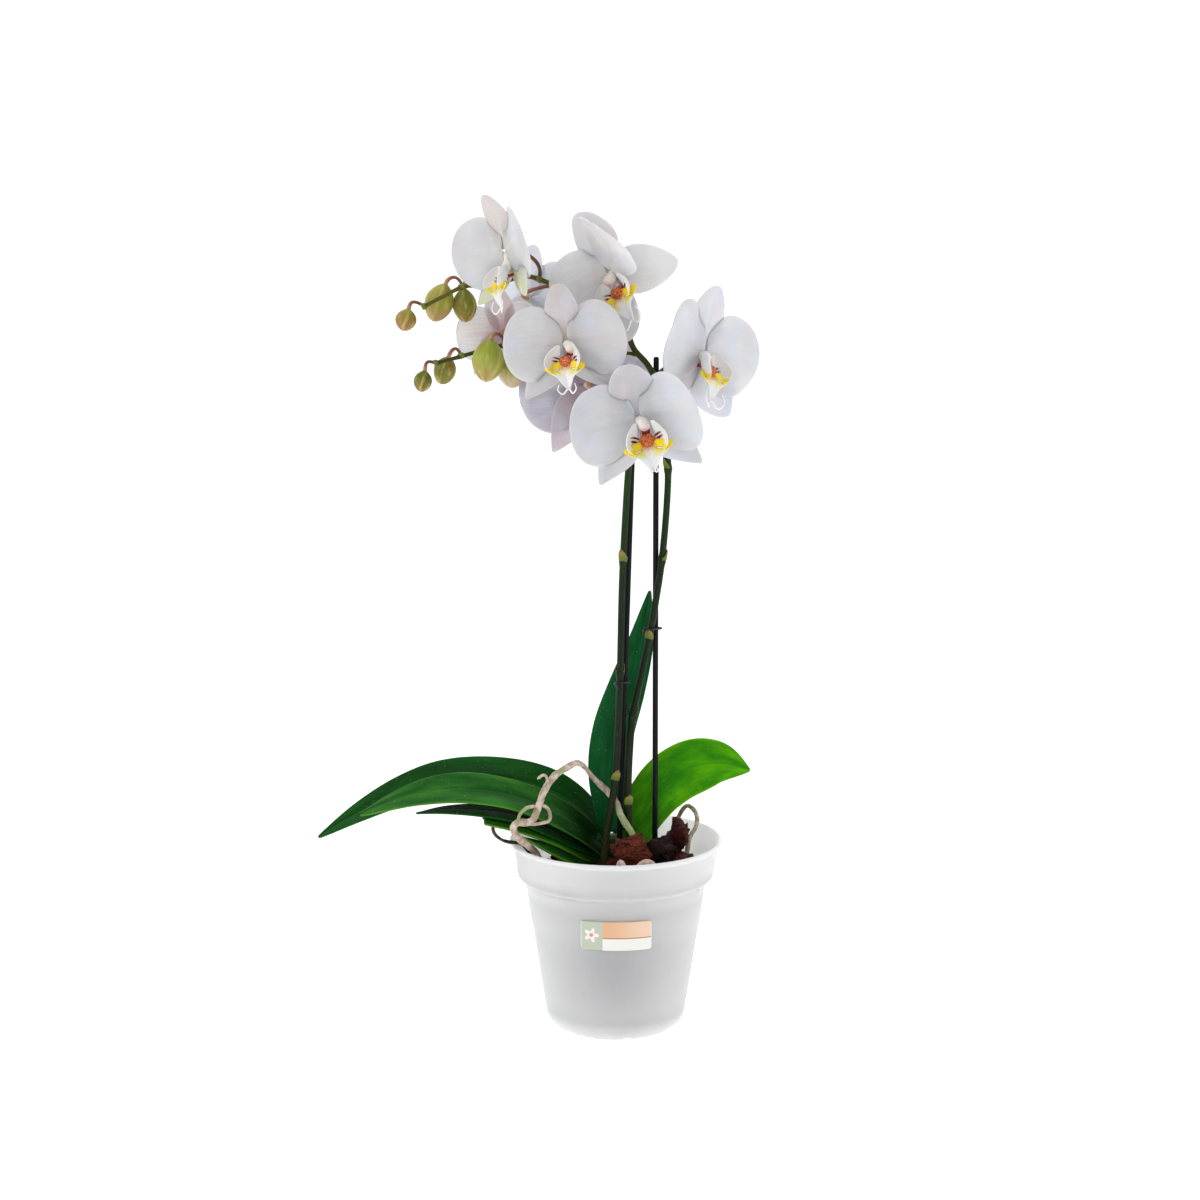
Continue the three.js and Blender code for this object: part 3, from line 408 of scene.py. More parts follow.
bark_mesh = bmesh.new()
turned(bark_mesh, [(0.01, 2.4), (30, 2.4), (40, 12), (44, 20), (53.3, BARK_EDGE - 3),
                   (50, BARK_EDGE), (30, BARK_MIDDLE - 2.5), (0.01, BARK_MIDDLE)], 48)
for number in range(CHIPS):
    reach = 49.5 * math.sqrt((number + 0.5) / CHIPS)
    around = number * CHIP_TURN + bark_random.uniform(-0.25, 0.25)
    top = BARK_MIDDLE + 1 - (BARK_MIDDLE - BARK_EDGE) * (reach / 50) ** 2
    spot = (reach * math.cos(around), reach * math.sin(around), top + bark_random.uniform(-2, 2.2))
    long = bark_random.uniform(7.5, 13.5) * (0.8 if reach > 44 else 1)
    size = (long, long * bark_random.uniform(0.5, 0.8), long * bark_random.uniform(0.35, 0.6))
    chip(bark_mesh, spot, size, bark_random.uniform(0, 360), bark_random.random() ** 1.6)
for at, size, turn, shade in LARGE_CHIPS:
    chip(bark_mesh, at, size, turn, shade)
bpy.data.meshes.remove(chip_block)

bark = Finish("fir bark", 0.25)
shade = bark.node("ShaderNodeAttribute", {"attribute_name": "shade"}, output="Fac")
fibres = bark.grain(2.4, 7, (1, 0.4, 1.8), rough=0.7, bend=0.9)
blotches = bark.grain(5)
cracks = bark.grain(3.4, 4, (1, 1, 2.2), rough=0.6, bend=1.6)
tone = shade * 0.5 + blotches * 0.4 + fibres * 0.75 - 0.5 - cracks.rise(0.46, 0.36) * 0.35
brown = bark.ramp(tone, (0.0, (8, 4, 4)), (0.22, (34, 9, 8)), (0.4, (86, 26, 14)),
                  (0.56, (134, 54, 26)), (0.74, (176, 100, 58)), (0.95, (222, 176, 138)))
brown = bark.mix(bark.grain(0.9, 2).rise(0.68, 0.74) * 0.7, brown, (206, 182, 156))
crust = fibres * 0.7 + cracks.rise(0.36, 0.5) * 0.6 + bark.grain(0.6, 4) * 0.3
bark.feed(brown, 0.36 + blotches * 0.4, crust, 2.2)
settle("bark_chips", bark_mesh, [bark], "bark", "bark_fill")

# ---------------------------------------------------------------- sticks
# Two straight sticks of black coated wire, pushed into the bark, with rounded tops. Each is
# turned from its half section and set between its two ends.

# Each stick: where it leaves the bark, and its top.
STICKS = {
    "stake_left": ((2, -2, 103), (10.1, 1.5, 369)),
    "stake_right": ((24.4, 10, 110), (24, 10, 412)),
}
STICK_RADIUS = 1.7
STICK_FOOT = 24

stick_coat = Finish("black stick coating", 0.2)
wear = stick_coat.grain(2.5, 4, (1, 1, 0.12))
black = stick_coat.mix(wear.rise(0.5, 0.75) * 0.5, (8, 9, 12), (34, 36, 42))
stick_coat.feed(black, 0.42 + wear * 0.25, stick_coat.grain(0.8, 3, (1, 1, 0.3)), 0.06)
for name, (low, high) in STICKS.items():
    low, high = Vector(low), Vector(high)
    upward = (high - low).normalized()
    foot = low + upward * (STICK_FOOT - low.z) / upward.z
    tall = (high - foot).length
    stick_mesh = bmesh.new()
    section = [(0.01, 0), (1.2, 0), *[(STICK_RADIUS, tall * k / 40 + 0.5) for k in range(40)]]
    section += [(1.65, tall - 0.9), (1.3, tall - 0.35), (0.7, tall - 0.05), (0.01, tall)]
    turned(stick_mesh, section, 24, closed=False)
    lay = Matrix.Translation(foot) @ Vector((0, 0, 1)).rotation_difference(upward).to_matrix().to_4x4()
    settle(name.replace("stake", "stick"), stick_mesh, [stick_coat], "stake", name, lay=lay)

# ---------------------------------------------------------------- flower spikes
# Two green stems that lean on the sticks and arch over to the left, each drawn out thinner
# towards its tip. Swollen nodes with a clasping bract sit along them. They are round tubes.


class Route:
    """A smooth line through points, measured by its length."""

    def __init__(self, points):
        knots = [Vector(point) for point in points]
        ends = [2 * knots[0] - knots[1], *knots, 2 * knots[-1] - knots[-2]]
        self.spots = []
        for a, b, c, d in zip(ends, ends[1:], ends[2:], ends[3:]):
            pace = [max((q - p).length, 0.01) ** 0.5 for p, q in ((a, b), (b, c), (c, d))]
            out = (b - a) / pace[0] - (c - a) / (pace[0] + pace[1]) + (c - b) / pace[1]
            into = (c - b) / pace[1] - (d - b) / (pace[1] + pace[2]) + (d - c) / pace[2]
            out, into = out * pace[1], into * pace[1]
            for w in [step / 14 for step in range(14)]:
                bow = (3 * (c - b) - 2 * out - into) * w * w + (2 * (b - c) + out + into) * w ** 3
                self.spots.append(b + out * w + bow)
        self.spots.append(knots[-1])
        self.reach = [0]
        for p, q in zip(self.spots, self.spots[1:]):
            self.reach.append(self.reach[-1] + (q - p).length)

    def at(self, share):
        goal = share * self.reach[-1]
        k = min(max(bisect(self.reach, goal) - 1, 0), len(self.spots) - 2)
        gap = (goal - self.reach[k]) / (self.reach[k + 1] - self.reach[k])
        return self.spots[k].lerp(self.spots[k + 1], gap)

    def ahead(self, share):
        return (self.at(share + 0.006) - self.at(share - 0.006)).normalized()

    def rings(self, count):
        """Evenly spaced places on the line, each with two directions square to it."""
        side = self.ahead(0).orthogonal().normalized()
        found = []
        for k in range(count + 1):
            ahead = self.ahead(k / count)
            side = (side - ahead * side.dot(ahead)).normalized()
            found.append((self.at(k / count), side, ahead.cross(side)))
        return found

    def nearest(self, point):
        """The share of the length where the line passes closest to a point."""
        goal = Vector(point)
        k = min(range(len(self.spots)), key=lambda i: (self.spots[i] - goal).length)
        return self.reach[k] / self.reach[-1]


def stalk(bm, route, radius, around, along):
    """A closed round stalk along a route. radius(share, turn) is in millimetres."""
    rings = route.rings(along)

    def place(u, v):
        middle, side, other = rings[round(v * along)]
        turn = 2 * math.pi * u
        return middle + (side * math.cos(turn) + other * math.sin(turn)) * radius(v, turn)

    corners = formed(bm, around, along, place)
    bmesh.ops.remove_doubles(bm, verts=corners, dist=0.003)
    corners = [corner for corner in corners if corner.is_valid]
    rims = {edge for corner in corners for edge in corner.link_edges if edge.is_boundary}
    bmesh.ops.holes_fill(bm, edges=list(rims), sides=0)
    bmesh.ops.recalc_face_normals(bm, faces=bm.faces)
    return corners


SPIKES = {
    "spike_left": (
        [(-7.8, -9.7, 60), (-7.8, -9.7, 88), (-7.8, -9.7, 96), (-7.4, -9.7, 108), (-4.2, -8.9, 132),
         (-0.5, -7.8, 156), (1.6, -5.8, 190), (2.5, -4.8, 222), (4.2, -4, 291), (6.9, -4.5, 340),
         (8.5, -3.5, 363), (7, 0, 381), (1, 5, 398.5), (-9.6, 8, 411.5), (-24.6, 10, 417.8),
         (-42.5, 8, 420.3), (-65, 5, 419.2), (-75, 2, 417.6), (-93.3, -2, 412.5), (-108, -4, 408.6)],
        [(-0.5, -7.8, 156), (2.5, -4.8, 222), (4.2, -4, 291)],
    ),
    "spike_right": (
        [(9.3, -7, 60), (9.3, -7, 88), (9.3, -7, 96), (9.3, -7, 108), (7.6, -6.5, 140), (8, -5, 168),
         (10.5, -0.5, 196), (15.4, 4, 218.4), (20.1, 6, 241), (23.7, 4.6, 262), (27.9, 6.6, 289.5),
         (30.8, 8, 326), (31.3, 8, 345), (29.4, 6.5, 372), (24.6, 4.5, 396.6), (18.4, 5, 407.9),
         (10.6, 6, 416.8), (5.9, 7, 428.6), (-2.5, 8, 441), (-15.6, 9, 447.5), (-28.6, 7.4, 451.7),
         (-41.7, 7.4, 456.4), (-52.3, 8, 459.6), (-60, 8, 458.6), (-68, 8, 456), (-76.6, 6.6, 454),
         (-87, 4.8, 454.4), (-94, 1.6, 452.4), (-101, 0, 448.8), (-115, -2, 441.6)],
        [(7.6, -6.5, 140), (10.5, -0.5, 196), (20.1, 6, 241), (27.9, 6.6, 289.5), (31.3, 8, 345)],
    ),
}
STUB = [(13, 5.8, 413.6), (9, 4, 414.2), (5.6, 2.8, 414.4), (3.4, 2, 413.4)]
# Where the stalks of blooms and buds leave the stems: a small bract sits under each.
FORKS = {
    "spike_left": {
        "bloom_d": (-20, 9.6, 416.2), "bloom_e": (-4, 6.6, 405.4), "bloom_f": (8.3, -2.4, 367.5),
        "bloom_b": (-38, 10.6, 419.6), "bud_d": (-107, -3.8, 408.9), "bud_e": (-92, -1.8, 412.9),
        "bud_f": (-67, 4.6, 419), "bud_g": (-56, 6.2, 419.9),
    },
    "spike_right": {
        "bloom_a": (-46, 7.7, 457.8), "bloom_g": (3.8, 7.4, 432.4), "bloom_h": (22.8, 4.6, 400),
        "bloom_i": (-31, 7.4, 452.6), "bud_a": (-113.5, -1.7, 442.4), "bud_b": (-91, 3, 453.4),
        "bud_c": (-84, 5.4, 454.4),
    },
}

stem_skin = Finish("stem skin", 0.2, (0.08, (1, 1, 0.4), 2))
height = stem_skin.parts(stem_skin.spot())[2]
fleck = stem_skin.grain(1.4, 4, (1, 1, 0.35))
cloud = stem_skin.grain(7, 2, (1, 1, 0.4))
green = stem_skin.ramp(
    height / 460 + cloud * 0.08 - 0.04,
    (0.2, (48, 54, 14)), (0.32, (24, 34, 10)), (0.55, (14, 34, 14)), (0.8, (24, 56, 8)),
    (0.9, (56, 66, 12)), (0.97, (92, 86, 26)),
)
green = stem_skin.coats(green, (fleck.rise(0.58, 0.72) * 0.35, (84, 88, 34)),
                        (fleck.rise(0.4, 0.28) * 0.5, (26, 20, 10)))
stem_skin.feed(green, 0.38 + fleck * 0.2, fleck + cloud * 0.4, 0.12)

bract_skin = Finish("bract skin", 0.35)
ribs = bract_skin.strands(26, 1.5)
leafy = bract_skin.ramp(
    bract_skin.chart()[1] + ribs * 0.25 - 0.1,
    (0.0, (92, 104, 34)), (0.45, (112, 120, 44)), (0.75, (138, 134, 66)), (1.0, (120, 86, 52)),
)
leafy = bract_skin.mix(ribs.rise(0.55, 0.7) * 0.4, leafy, (84, 62, 34))
bract_skin.feed(leafy, 0.5 + ribs * 0.2, ribs, 0.2)


def bract(bm, route, share, reach, radius, face):
    """A pointed scale that clasps the stem from a node up: face turns it round the stem."""
    steps = 400
    rings = route.rings(steps)
    start = round(share * steps)

    def place(u, v):
        middle, side, other = rings[min(round(start + v * (reach / route.reach[-1] * steps)), steps)]
        wrap = math.radians(face) + (u - 0.5) * math.radians(250) * (1 - v ** 1.6 * 0.93)
        out = radius * (1.02 + 0.16 * math.sin(math.pi * v) + 0.1 * v)
        return middle + (side * math.cos(wrap) + other * math.sin(wrap)) * out

    formed(bm, 14, 8, place)


for name, (line, nodes) in SPIKES.items():
    route = Route(line)
    forks = FORKS[name].values()
    swellings = [(route.nearest(node), 0.62) for node in nodes]
    swellings += [(route.nearest(fork), 0.35) for fork in forks]
    length = route.reach[-1]

    def stem_radius(share, turn):
        thin = 2.28 - 0.5 * share - 0.68 * max(share - 0.6, 0) / 0.4
        swell = sum(rise * math.exp(-((share - spot) * length / 2.4) ** 2) for spot, rise in swellings)
        tip = min(1, math.sqrt(max((1 - share) * length / 1.2, 0.02)))
        return (thin + swell + 0.05 * math.cos(3 * turn + share * 40)) * tip

    stem_mesh = bmesh.new()
    stalk(stem_mesh, route, stem_radius, 16, 300)
    if name == "spike_right":
        stalk(stem_mesh, Route(STUB), lambda share, turn: 1.25 + 0.25 * math.sin(share * 9), 12, 16)
    settle(name.replace("spike", "stem"), stem_mesh, [stem_skin], "stem", name)
    bract_mesh = bmesh.new()
    for number, node in enumerate(nodes):
        bract(bract_mesh, route, route.nearest(node) - 0.001, 8, 2.3, 250 + 150 * number)
    for number, fork in enumerate(forks):
        bract(bract_mesh, route, route.nearest(fork) - 0.003, 3.6, 1.75, 250 + 40 * (number % 2))
    settle(name.replace("spike", "bracts"), bract_mesh, [bract_skin], "stem", thick=0.35, rounds=1)

# ---------------------------------------------------------------- stalks of blooms and buds
# Each bloom and bud hangs from the stem on its own thin curved stalk, reddish brown where it
# leaves the stem and pale at the flower, where it thickens into the ribbed ovary.

# Each bloom: how its stalk bends away, its middle, where it looks (yaw from the front, nod down,
# roll), its size, and how far each tepal leans forward: left petal, right petal, top sepal, left
# and right lower sepals. turns are their places round the middle, and own changes the measures of
# single tepals, by their number. heart is how far its column and lip sit aside and, in degrees,
# how far the lip looks aside, and curl is how large the tendrils of its lip are.
USUAL = dict(turns=(-84, 84, 0, -137, 137), own={}, heart=(0, 0, 0, 0), curl=1)
BLOOMS = {
    "a": dict(bend=(4, 2, 11), at=(-65.5, -14, 474), look=(-52, 8, -8), size=0.9,
              lean=(34, 14, 16, 18, 18), turns=(-84, 78, 0, -137, 137),
              heart=(6, 0, -8.5, -10), curl=1.5),
    "b": dict(bend=(-6, 12, 34), at=(-68.5, 28, 425), look=(-165, 12, 6), size=0.72,
              lean=(18, 18, 6, 6, 6)),
    "d": dict(bend=(-3, -8, 3), at=(-29.5, -26, 421.5), look=(-2, 8, -7), size=0.94,
              lean=(14, 14, 14, 4, 4), own={2: dict(width=23)}, heart=(3, 0, -1.2, -20), curl=1.1),
    "e": dict(bend=(-8, -10, -2), at=(-17, 10, 394.5), look=(-172, 14, 14), size=1.06,
              lean=(14, 14, 4, 4, 4)),
    "f": dict(bend=(4, 2, 5), at=(13, -33, 377.5), look=(1, 14, -13), size=1.06,
              lean=(16, 34, 26, 5, 5), heart=(2.8, 0, -0.4, 0), curl=0.35),
    "g": dict(bend=(8, 4, 14), at=(-4, -9.5, 462), look=(-50, 8, -33), size=1.03,
              lean=(42, 35, 8, -12, -36), turns=(-84, 58, 0, -137, 117),
              own={2: dict(width=36), 3: dict(width=42, point=0.2), 4: dict(width=31, point=0.5)},
              heart=(5.5, 0, -3.5, 25), curl=1.6),
    "h": dict(bend=(8, 6, 8), at=(52.3, 2, 414), look=(44, 2, 13), size=1.03,
              lean=(10, 10, 3, 3, 3), turns=(-77, 84, 0, -137, 137),
              own={4: dict(width=40, point=0.5)}, heart=(-4.6, 0, -1.8, 8), curl=1.7),
    "i": dict(bend=(-3, 14, 5), at=(-53, 56, 445), look=(145, 8, 4), size=0.84,
              lean=(16, 16, 6, 6, 6)),
}
BLOOMS = {letter: {**USUAL, **bloom} for letter, bloom in BLOOMS.items()}
# Each bud: how its stalk bends away, its middle, where its tip points, its width and length, and
# its colours from the stalk to the tip.
BUDS = {
    "a": dict(bend=(-8, 0, 5), at=(-124.4, -3, 434.5), tip=(-0.25, -0.2, -1), size=(12, 13.5),
              tones=((150, 142, 40), (152, 124, 50), (160, 106, 72))),
    "b": dict(bend=(-3, 4, 9), at=(-105.4, 10.5, 444.2), tip=(-0.35, 0.15, -1), size=(16.5, 24),
              tones=((170, 166, 70), (160, 154, 52), (176, 132, 90))),
    "c": dict(bend=(-2, 5, 10), at=(-90.5, 13.5, 442.5), tip=(0.05, 0.1, -1), size=(14, 20.5),
              tones=((112, 120, 14), (122, 122, 20), (144, 112, 44))),
    "d": dict(bend=(-7, 0, 3), at=(-114.6, -6, 398.5), tip=(-0.2, -0.15, -1), size=(10.5, 13),
              tones=((82, 104, 6), (108, 106, 18), (138, 110, 48))),
    "e": dict(bend=(-3, 5, 8), at=(-102.4, 7.5, 404), tip=(-0.3, 0.15, -1), size=(13, 17.5),
              tones=((128, 112, 24), (110, 122, 8), (138, 122, 46))),
    "f": dict(bend=(1, -8, 9), at=(-75.6, -10.5, 411), tip=(-0.12, -0.2, -1), size=(18.5, 25.5),
              tones=((150, 160, 40), (156, 168, 62), (176, 150, 92))),
    "g": dict(bend=(-1, -5, 7), at=(-62.6, 6.5, 405), tip=(0.1, 0.1, -1), size=(16.5, 23.5),
              tones=((138, 138, 44), (166, 160, 84), (212, 190, 180))),
}
BLOOM_BACK = 4.35  # from a bloom's middle to where its stalk ends, at full size


def bloom_pose(bloom):
    """Sets a bloom that looks to the front, about its own middle, in its place."""
    yaw, nod, roll = [math.radians(part) for part in bloom["look"]]
    turn = Matrix.Rotation(yaw, 4, "Z") @ Matrix.Rotation(nod, 4, "X") @ Matrix.Rotation(roll, 4, "Y")
    return Matrix.Translation(bloom["at"]) @ turn @ Matrix.Scale(bloom["size"], 4)


def heart_pose(bloom):
    """The place of the lip of a bloom."""
    middle, aside = Vector(bloom["at"]), Vector(bloom["heart"][:3])
    turn = Matrix.Rotation(math.radians(bloom["heart"][3]), 4, "Z")
    return Matrix.Translation(middle + aside) @ turn @ Matrix.Translation(-middle) @ bloom_pose(bloom)


def flower_stalk(bm, fork, bend, end, back, width):
    """A stalk that swings from a stem to the back of a bloom or bud, and is thicker at its end."""
    start = Vector(fork)
    pulls = [start, start + Vector(bend), end + back * (start - end).length * 0.35, end]
    points = []
    for t in [step / 8 for step in range(9)]:
        terms = [count * (1 - t) ** (3 - k) * t ** k * pulls[k] for k, count in enumerate((1, 3, 3, 1))]
        points.append(sum(terms, Vector()))

    def radius(share, turn):
        base = 0.35 * math.exp(-(share / 0.06) ** 2)
        ovary = 0.42 * max(share - 0.55, 0) / 0.45
        return width * (0.94 + base + ovary + 0.05 * max(share - 0.4, 0) * math.cos(6 * turn))

    stalk(bm, Route(points), radius, 14, 30)


stalk_skin = Finish("flower stalk skin", glow=(0.15, (1, 0.6, 0.4), 2))
lines = stalk_skin.strands(14, 2.5)
rosy = stalk_skin.ramp(
    stalk_skin.chart()[1] + lines * 0.16 - 0.08,
    (0.0, (84, 72, 24)), (0.3, (98, 56, 26)), (0.62, (132, 76, 44)), (0.85, (176, 122, 88)),
    (1.0, (200, 162, 126)),
)
rosy = stalk_skin.mix(lines.rise(0.55, 0.72) * 0.4, rosy, (150, 84, 84))
stalk_skin.feed(rosy, 0.42 + lines * 0.15, lines, 0.12)
forks = {**FORKS["spike_left"], **FORKS["spike_right"]}
bloom_stalks = bmesh.new()
for letter, bloom in BLOOMS.items():
    back = bloom_pose(bloom).to_3x3().normalized() @ Vector((0, 1, 0))
    end = Vector(bloom["at"]) + back * (BLOOM_BACK * bloom["size"] - 0.8)
    flower_stalk(bloom_stalks, forks["bloom_" + letter], bloom["bend"], end, back, 1.2)
settle("bloom_stalks", bloom_stalks, [stalk_skin], "stem")
bud_stalks = bmesh.new()
for letter, bud in BUDS.items():
    back = -Vector(bud["tip"]).normalized()
    end = Vector(bud["at"]) + back * (bud["size"][1] / 2 - 0.3)
    flower_stalk(bud_stalks, forks["bud_" + letter], bud["bend"], end, back, 1.02)
settle("bud_stalks", bud_stalks, [stalk_skin], "stem")

# ---------------------------------------------------------------- clips
# Three black wire clips hold the stems to the sticks: a ring bent round both, and its twisted
# ends as a short tail. They are bent from thin round wire.

# Each clip: its middle, the half width and half depth of its ring, its turn, and its tail's way.
CLIPS = {
    "clip_left": ((4, -2.7, 216), (5.9, 4.1), 51, (-3.4, -3.5, -1.5)),
    "clip_right": ((22.2, 7.9, 247), (6.2, 4.3), 38, (-3.4, -3.5, -2)),
    "clip_top": ((24.4, 7.3, 396.5), (6, 4.2), 90, (-3, -4, -2)),
}
clip_wire = Finish("black clip wire")
scuff = clip_wire.grain(1.2)
black = clip_wire.mix(scuff.rise(0.5, 0.8) * 0.4, (16, 16, 18), (60, 60, 64))
clip_wire.feed(black, 0.4 + scuff * 0.2, scuff, 0.05)
for name, (at, reach, turn, tail) in CLIPS.items():
    wire_mesh = bmesh.new()
    ring = []
    for step in range(25):
        angle = math.pi + 2 * math.pi * step / 24
        ring.append((reach[0] * math.cos(angle), reach[1] * math.sin(angle), 0.7 * math.sin(angle / 2)))
    stalk(wire_mesh, Route(ring), lambda share, angle: 0.62, 10, 72)
    root, way = Vector((-reach[0], 0, 0)), Vector(tail)
    flat = way.cross(Vector((0, 0, 1))).normalized()
    for side in (0, math.pi):
        twist = []
        for step in range(13):
            angle = side + step * 0.9
            around = flat * math.cos(angle) + flat.cross(way).normalized() * math.sin(angle)
            twist.append(root + way * step / 12 + around * 0.42)
        stalk(wire_mesh, Route(twist), lambda share, angle: 0.42, 8, 30)
    lay = Matrix.Translation(at) @ Matrix.Rotation(math.radians(turn), 4, "Z")
    settle(name + "_wire", wire_mesh, [clip_wire], "stake", name, lay=lay)

# ---------------------------------------------------------------- blooms
# Each bloom has three narrow sepals behind and two broad round petals in front of them, waxy
# white with faint lilac shade and fine veins. They are thin sheets on a short claw, which bend
# forward, and their edges roll a little.

TEPAL_THICK = 0.75
ROOT_GAP = 1.6  # of each tepal from the bloom's middle
CLAW = 9  # from there on a tepal leans forward
PETAL = dict(length=38, width=48, back=-0.4, bend=0.06, curl=0.045, point=0, wave=2.4)
TOP_SEPAL = dict(length=38.5, width=27, back=2, bend=0.04, curl=0.05, point=0.25, wave=1)
LOW_SEPAL = dict(length=41, width=27, back=2, bend=0.04, curl=0.05, point=0.72, wave=1)
# The tepals in the order of their numbers, each with the number of its skin.
TEPALS = [(PETAL, 0), (PETAL, 0), (TOP_SEPAL, 1), (LOW_SEPAL, 2), (LOW_SEPAL, 2)]


def smooth_step(value):
    value = min(max(value, 0), 1)
    return value * value * (3 - 2 * value)


def tepal(bm, turn, lean, seed, length, width, back, bend, curl, point, wave):
    """A sepal or petal that points up before its turn and looks to the front."""
    spin = Matrix.Rotation(math.radians(turn), 3, "Y")
    bends = []  # how far out and forward the midline has come at each half millimetre
    out = forth = 0
    for step in range(2 * math.ceil(length) + 3):
        bends.append((out, forth))
        angle = math.radians(lean) * smooth_step((step / 2 - CLAW + 5) / 10)
        out += math.cos(angle) / 2
        forth += math.sin(angle) / 2

    def place(u, v):
        s = 2 * u - 1
        sweep = math.pi * (0.06 + 0.925 * v)
        reach = (1 - math.cos(sweep)) / 2
        half = width / 2 * math.sin(sweep) ** 0.92 * (1 - point * reach * reach)
        half *= 1 + 0.03 * noise.noise(Vector((s * 2, reach * 3, seed)))
        along = length * reach
        k = int(along * 2)
        gap = along * 2 - k
        out = bends[k][0] * (1 - gap) + bends[k + 1][0] * gap
        forth = bends[k][1] * (1 - gap) + bends[k + 1][1] * gap
        tilt = math.radians(lean) * smooth_step((along - CLAW + 5) / 10)
        edge = abs(s) ** 1.6 * math.sin(sweep)
        ripple = wave * noise.noise(Vector((s * 1.3, reach * 2.1, seed))) * (0.25 + edge)
        ripple += 0.5 * wave * noise.noise(Vector((s * 3.1, reach * 4.6, seed + 7))) * edge
        groove = 0.55 * math.exp(-(s * half / 1.6) ** 2) * (1 - reach) ** 0.6
        rise = bend * length * reach * reach - curl * width * s * s * math.sin(sweep) + ripple - groove
        out -= rise * math.sin(tilt)
        depth = back - forth - rise * math.cos(tilt)
        return spin @ Vector((s * half, depth, ROOT_GAP + out))

    formed(bm, 22, 24, place)


def tepal_finish(name, body, flush_and_shade, blush, vein):
    """Waxy petal skin: soft shade, bluish and pinkish clouds on its body colour, a painted
    highlight along its edges, a flush at its base and along its middle that is partly its own
    tint and partly painted shade, and fine veins."""
    skin = Finish(name, 0.3, (0.5, (1, 0.95, 0.97), 4), sheen_weight=0.05)
    across, along = skin.chart()
    side = abs(across - 0.5) * 2
    sway = skin.strands(3, 3) - 0.5
    soft = skin.grain(18, 2)
    veins = (across * 13 + sway * 1.3).zigzag().rise(0.1, 0.02)
    veins = veins * along.rise(1.02, 0.7) * along.rise(0.02, 0.12)
    colour = skin.coats(
        body,
        (soft.rise(0.35, 0.75) * 0.7, [0.94 * channel for channel in body]),
        (skin.grain(15, 2, (1, 0.6, 1)).rise(0.46, 0.7) * 0.5, (200, 205, 222)),
        (skin.grain(15, 2, (0.7, 1, 1.3)).rise(0.46, 0.7) * 0.35, (216, 202, 206)),
        # Painted highlight: the edges of each tepal are lightened.
        (side.rise(0.8, 1.0) * 0.08, (232, 233, 236)),
        # A flush at the base and along the middle, partly the bloom's own tint and partly painted shade; its
        # colour also draws the veins.
        (along.rise(0.42, 0.02) * (0.75 + sway * 0.8) * blush, flush_and_shade),
        (side.rise(0.12, 0.0) * along.rise(0.9, 0.2) * blush * 0.5, flush_and_shade),
        (veins * vein, flush_and_shade),
    )
    skin.feed(colour, 0.46 + soft * 0.16, veins * 0.6 + skin.grain(0.45, 2) * 0.22, 0.12)
    return skin


# Of each bloom: the petals' body, their flush, which is partly painted shade, and how strong it
# is, the veins, and the bodies of the top sepal and of the two low ones. The bodies differ from
# bloom to bloom by painted light and shade: e, which hangs behind d, is darkest and g is lightest.
TEPAL_TONES = {
    "a": ((199, 200, 202), (192, 186, 172), 0.5, 0.05, (198, 190, 187), (202, 208, 174)),
    "b": ((220, 216, 214), (206, 150, 168), 0.9, 0.26, (208, 188, 188), (212, 192, 190)),
    "d": ((208, 208, 210), (198, 188, 180), 0.5, 0.03, (198, 189, 188), (199, 199, 203)),
    "e": ((174, 173, 184), (166, 120, 146), 0.6, 0.12, (176, 170, 178), (194, 182, 191)),
    "f": ((202, 205, 209), (186, 184, 184), 0.5, 0.03, (190, 189, 194), (200, 202, 209)),
    "g": ((226, 226, 227), (204, 194, 192), 0.5, 0.05, (206, 204, 207), (220, 220, 221)),
    "h": ((211, 214, 218), (198, 192, 198), 0.5, 0.05, (214, 214, 220), (202, 205, 213)),
    "i": ((204, 209, 219), (188, 190, 206), 0.3, 0.05, (198, 202, 213), (198, 202, 213)),
}
for number, (letter, bloom) in enumerate(BLOOMS.items()):
    petals, flush_and_shade, blush, vein, top, low = TEPAL_TONES[letter]
    skins = [tepal_finish(f"{part} skin {letter}", body, flush_and_shade, blush, vein)
             for part, body in (("petal", petals), ("top sepal", top), ("low sepal", low))]
    bloom_mesh = bmesh.new()
    for k, (kind, skin) in enumerate(TEPALS):
        before = len(bloom_mesh.faces)
        measures = {**kind, **bloom["own"].get(k, {})}
        tepal(bloom_mesh, bloom["turns"][k], bloom["lean"][k], 10 * number + k + 0.37, **measures)
        bloom_mesh.faces.ensure_lookup_table()
        for face in bloom_mesh.faces[before:]:
            face.material_index = skin
    settle("tepals_" + letter, bloom_mesh, skins, "petal", "bloom_" + letter,
           lay=bloom_pose(bloom), thick=TEPAL_THICK * bloom["size"], rounds=1)

# ---------------------------------------------------------------- columns
# In the middle of each bloom a short waxy column stands forward over the lip, white at its foot
# and rosy near its tip, with a pale cap on its end. A small cup behind it joins the tepals.

column_skin = Finish("column skin", 0.5, (0.2, (1, 0.5, 0.6), 2))
flecks = column_skin.grain(0.8)
waxy = column_skin.ramp(
    column_skin.chart()[1] + flecks * 0.1 - 0.05,
    (0.0, (206, 204, 176)), (0.34, (238, 236, 226)), (0.7, (240, 236, 228)),
    (0.88, (238, 228, 220)), (0.95, (236, 210, 204)), (1.0, (230, 190, 186)),
)
column_skin.feed(waxy, 0.34 + flecks * 0.2, flecks, 0.08)


